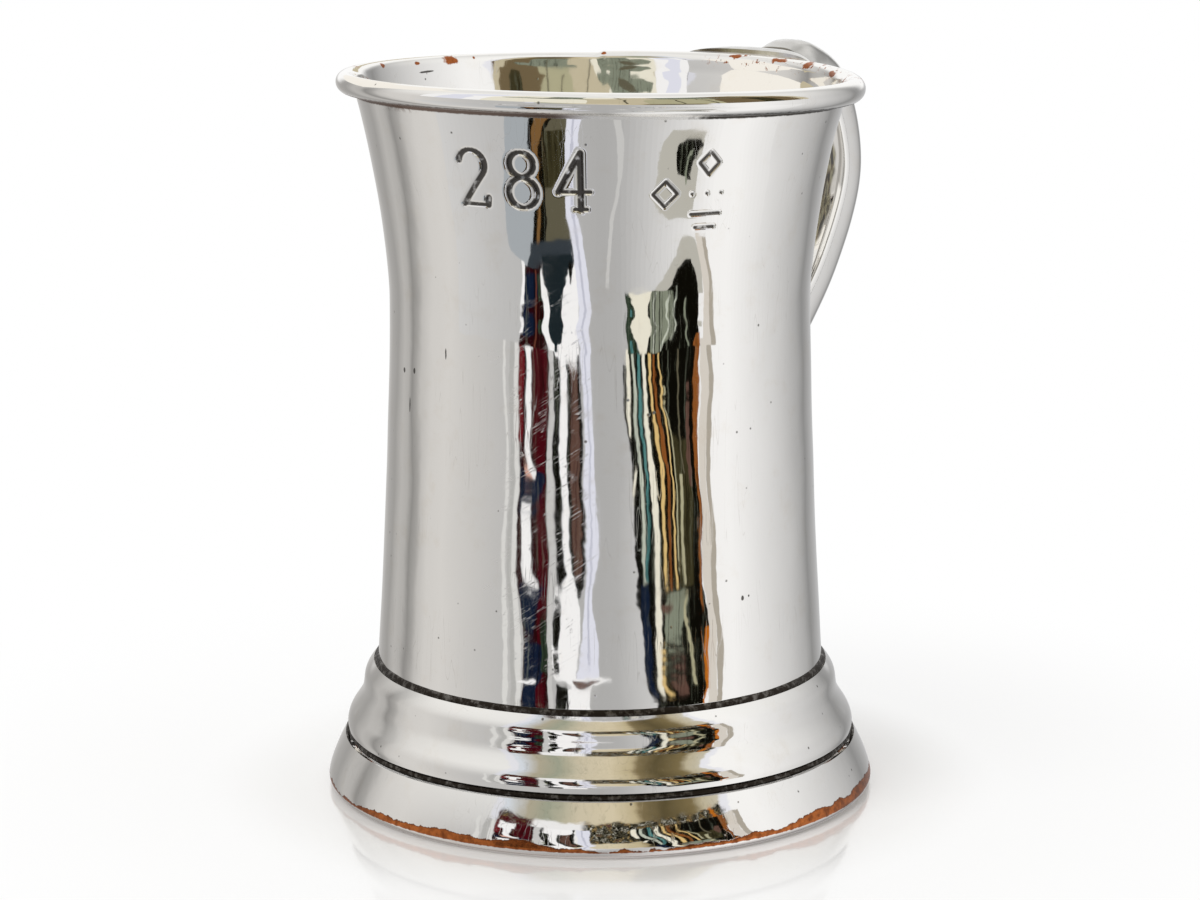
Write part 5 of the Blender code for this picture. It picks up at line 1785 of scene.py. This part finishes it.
class MUG_OT_skirt(bpy.types.Operator):
    """Builds the pressed skirt"""

    bl_idname = "mug.skirt"
    bl_label = "Skirt"

    def execute(self, context):
        make_skirt(context.scene.mug_sizes, context.scene.mug_finish)
        return {'FINISHED'}


class MUG_OT_foot(bpy.types.Operator):
    """Builds the spread foot ring"""

    bl_idname = "mug.foot"
    bl_label = "Foot ring"

    def execute(self, context):
        make_foot(context.scene.mug_sizes, context.scene.mug_finish)
        return {'FINISHED'}


class MUG_OT_seams(bpy.types.Operator):
    """Builds the solder runs of both seams"""

    bl_idname = "mug.seams"
    bl_label = "Seams"

    def execute(self, context):
        finish = context.scene.mug_finish
        solder_ring("upper_seam_solder", "upper_solder", UPPER_SOLDER, finish)
        solder_ring("lower_seam_solder", "lower_solder", LOWER_SOLDER, finish)
        return {'FINISHED'}


class MUG_OT_handle(bpy.types.Operator):
    """Builds the handle's half-round shell and its flat strap"""

    bl_idname = "mug.handle"
    bl_label = "Handle"

    def execute(self, context):
        make_handle(context.scene.mug_sizes, context.scene.mug_finish)
        return {'FINISHED'}


class MUG_OT_root(bpy.types.Operator):
    """Builds the flared root of the handle"""

    bl_idname = "mug.root"
    bl_label = "Root of the handle"

    def execute(self, context):
        make_root(context.scene.mug_sizes, context.scene.mug_finish)
        return {'FINISHED'}


class MUG_OT_collar(bpy.types.Operator):
    """Builds the solder collar at the handle's lower end"""

    bl_idname = "mug.collar"
    bl_label = "Collar of the handle"

    def execute(self, context):
        make_collar(context.scene.mug_sizes, context.scene.mug_finish)
        return {'FINISHED'}


class MUG_OT_studio(bpy.types.Operator):
    """Sets up the floor, the light and the camera"""

    bl_idname = "mug.studio"
    bl_label = "Studio"

    def execute(self, context):
        make_studio(context.scene.mug_studio)
        return {'FINISHED'}


OPERATORS = (MUG_OT_barrel, MUG_OT_wire, MUG_OT_floor, MUG_OT_skirt, MUG_OT_foot, MUG_OT_seams,
             MUG_OT_handle, MUG_OT_root, MUG_OT_collar, MUG_OT_studio)


class MUG_PT_panel(bpy.types.Panel):
    """Lists the steps that build the mug."""

    bl_idname = "MUG_PT_panel"
    bl_label = "Beer mug"
    bl_space_type = 'VIEW_3D'
    bl_region_type = 'UI'
    bl_category = "Mug"

    def draw(self, context):
        for operator in OPERATORS:
            self.layout.operator(operator.bl_idname)
        for group in (context.scene.mug_sizes, context.scene.mug_finish, context.scene.mug_studio):
            box = self.layout.box()
            for name in group.bl_rna.properties.keys():
                if name not in ("rna_type", "name"):
                    box.prop(group, name)


CLASSES = (MugSizes, MugFinish, MugStudio, *OPERATORS, MUG_PT_panel)


def register():
    """Registers the classes and hangs the settings on the scene."""
    for cls in CLASSES:
        bpy.utils.register_class(cls)
    bpy.types.Scene.mug_sizes = bpy.props.PointerProperty(type=MugSizes)
    bpy.types.Scene.mug_finish = bpy.props.PointerProperty(type=MugFinish)
    bpy.types.Scene.mug_studio = bpy.props.PointerProperty(type=MugStudio)


def unregister():
    """Takes the settings and the classes away again."""
    del bpy.types.Scene.mug_sizes
    del bpy.types.Scene.mug_finish
    del bpy.types.Scene.mug_studio
    for cls in reversed(CLASSES):
        bpy.utils.unregister_class(cls)


def main():
    """Builds the mug and its studio."""
    register()
    bpy.ops.mug.barrel()
    bpy.ops.mug.wire()
    bpy.ops.mug.floor()
    bpy.ops.mug.skirt()
    bpy.ops.mug.foot()
    bpy.ops.mug.seams()
    bpy.ops.mug.handle()
    bpy.ops.mug.root()
    bpy.ops.mug.collar()
    bpy.ops.mug.studio()


if __name__ == "__main__":
    main()
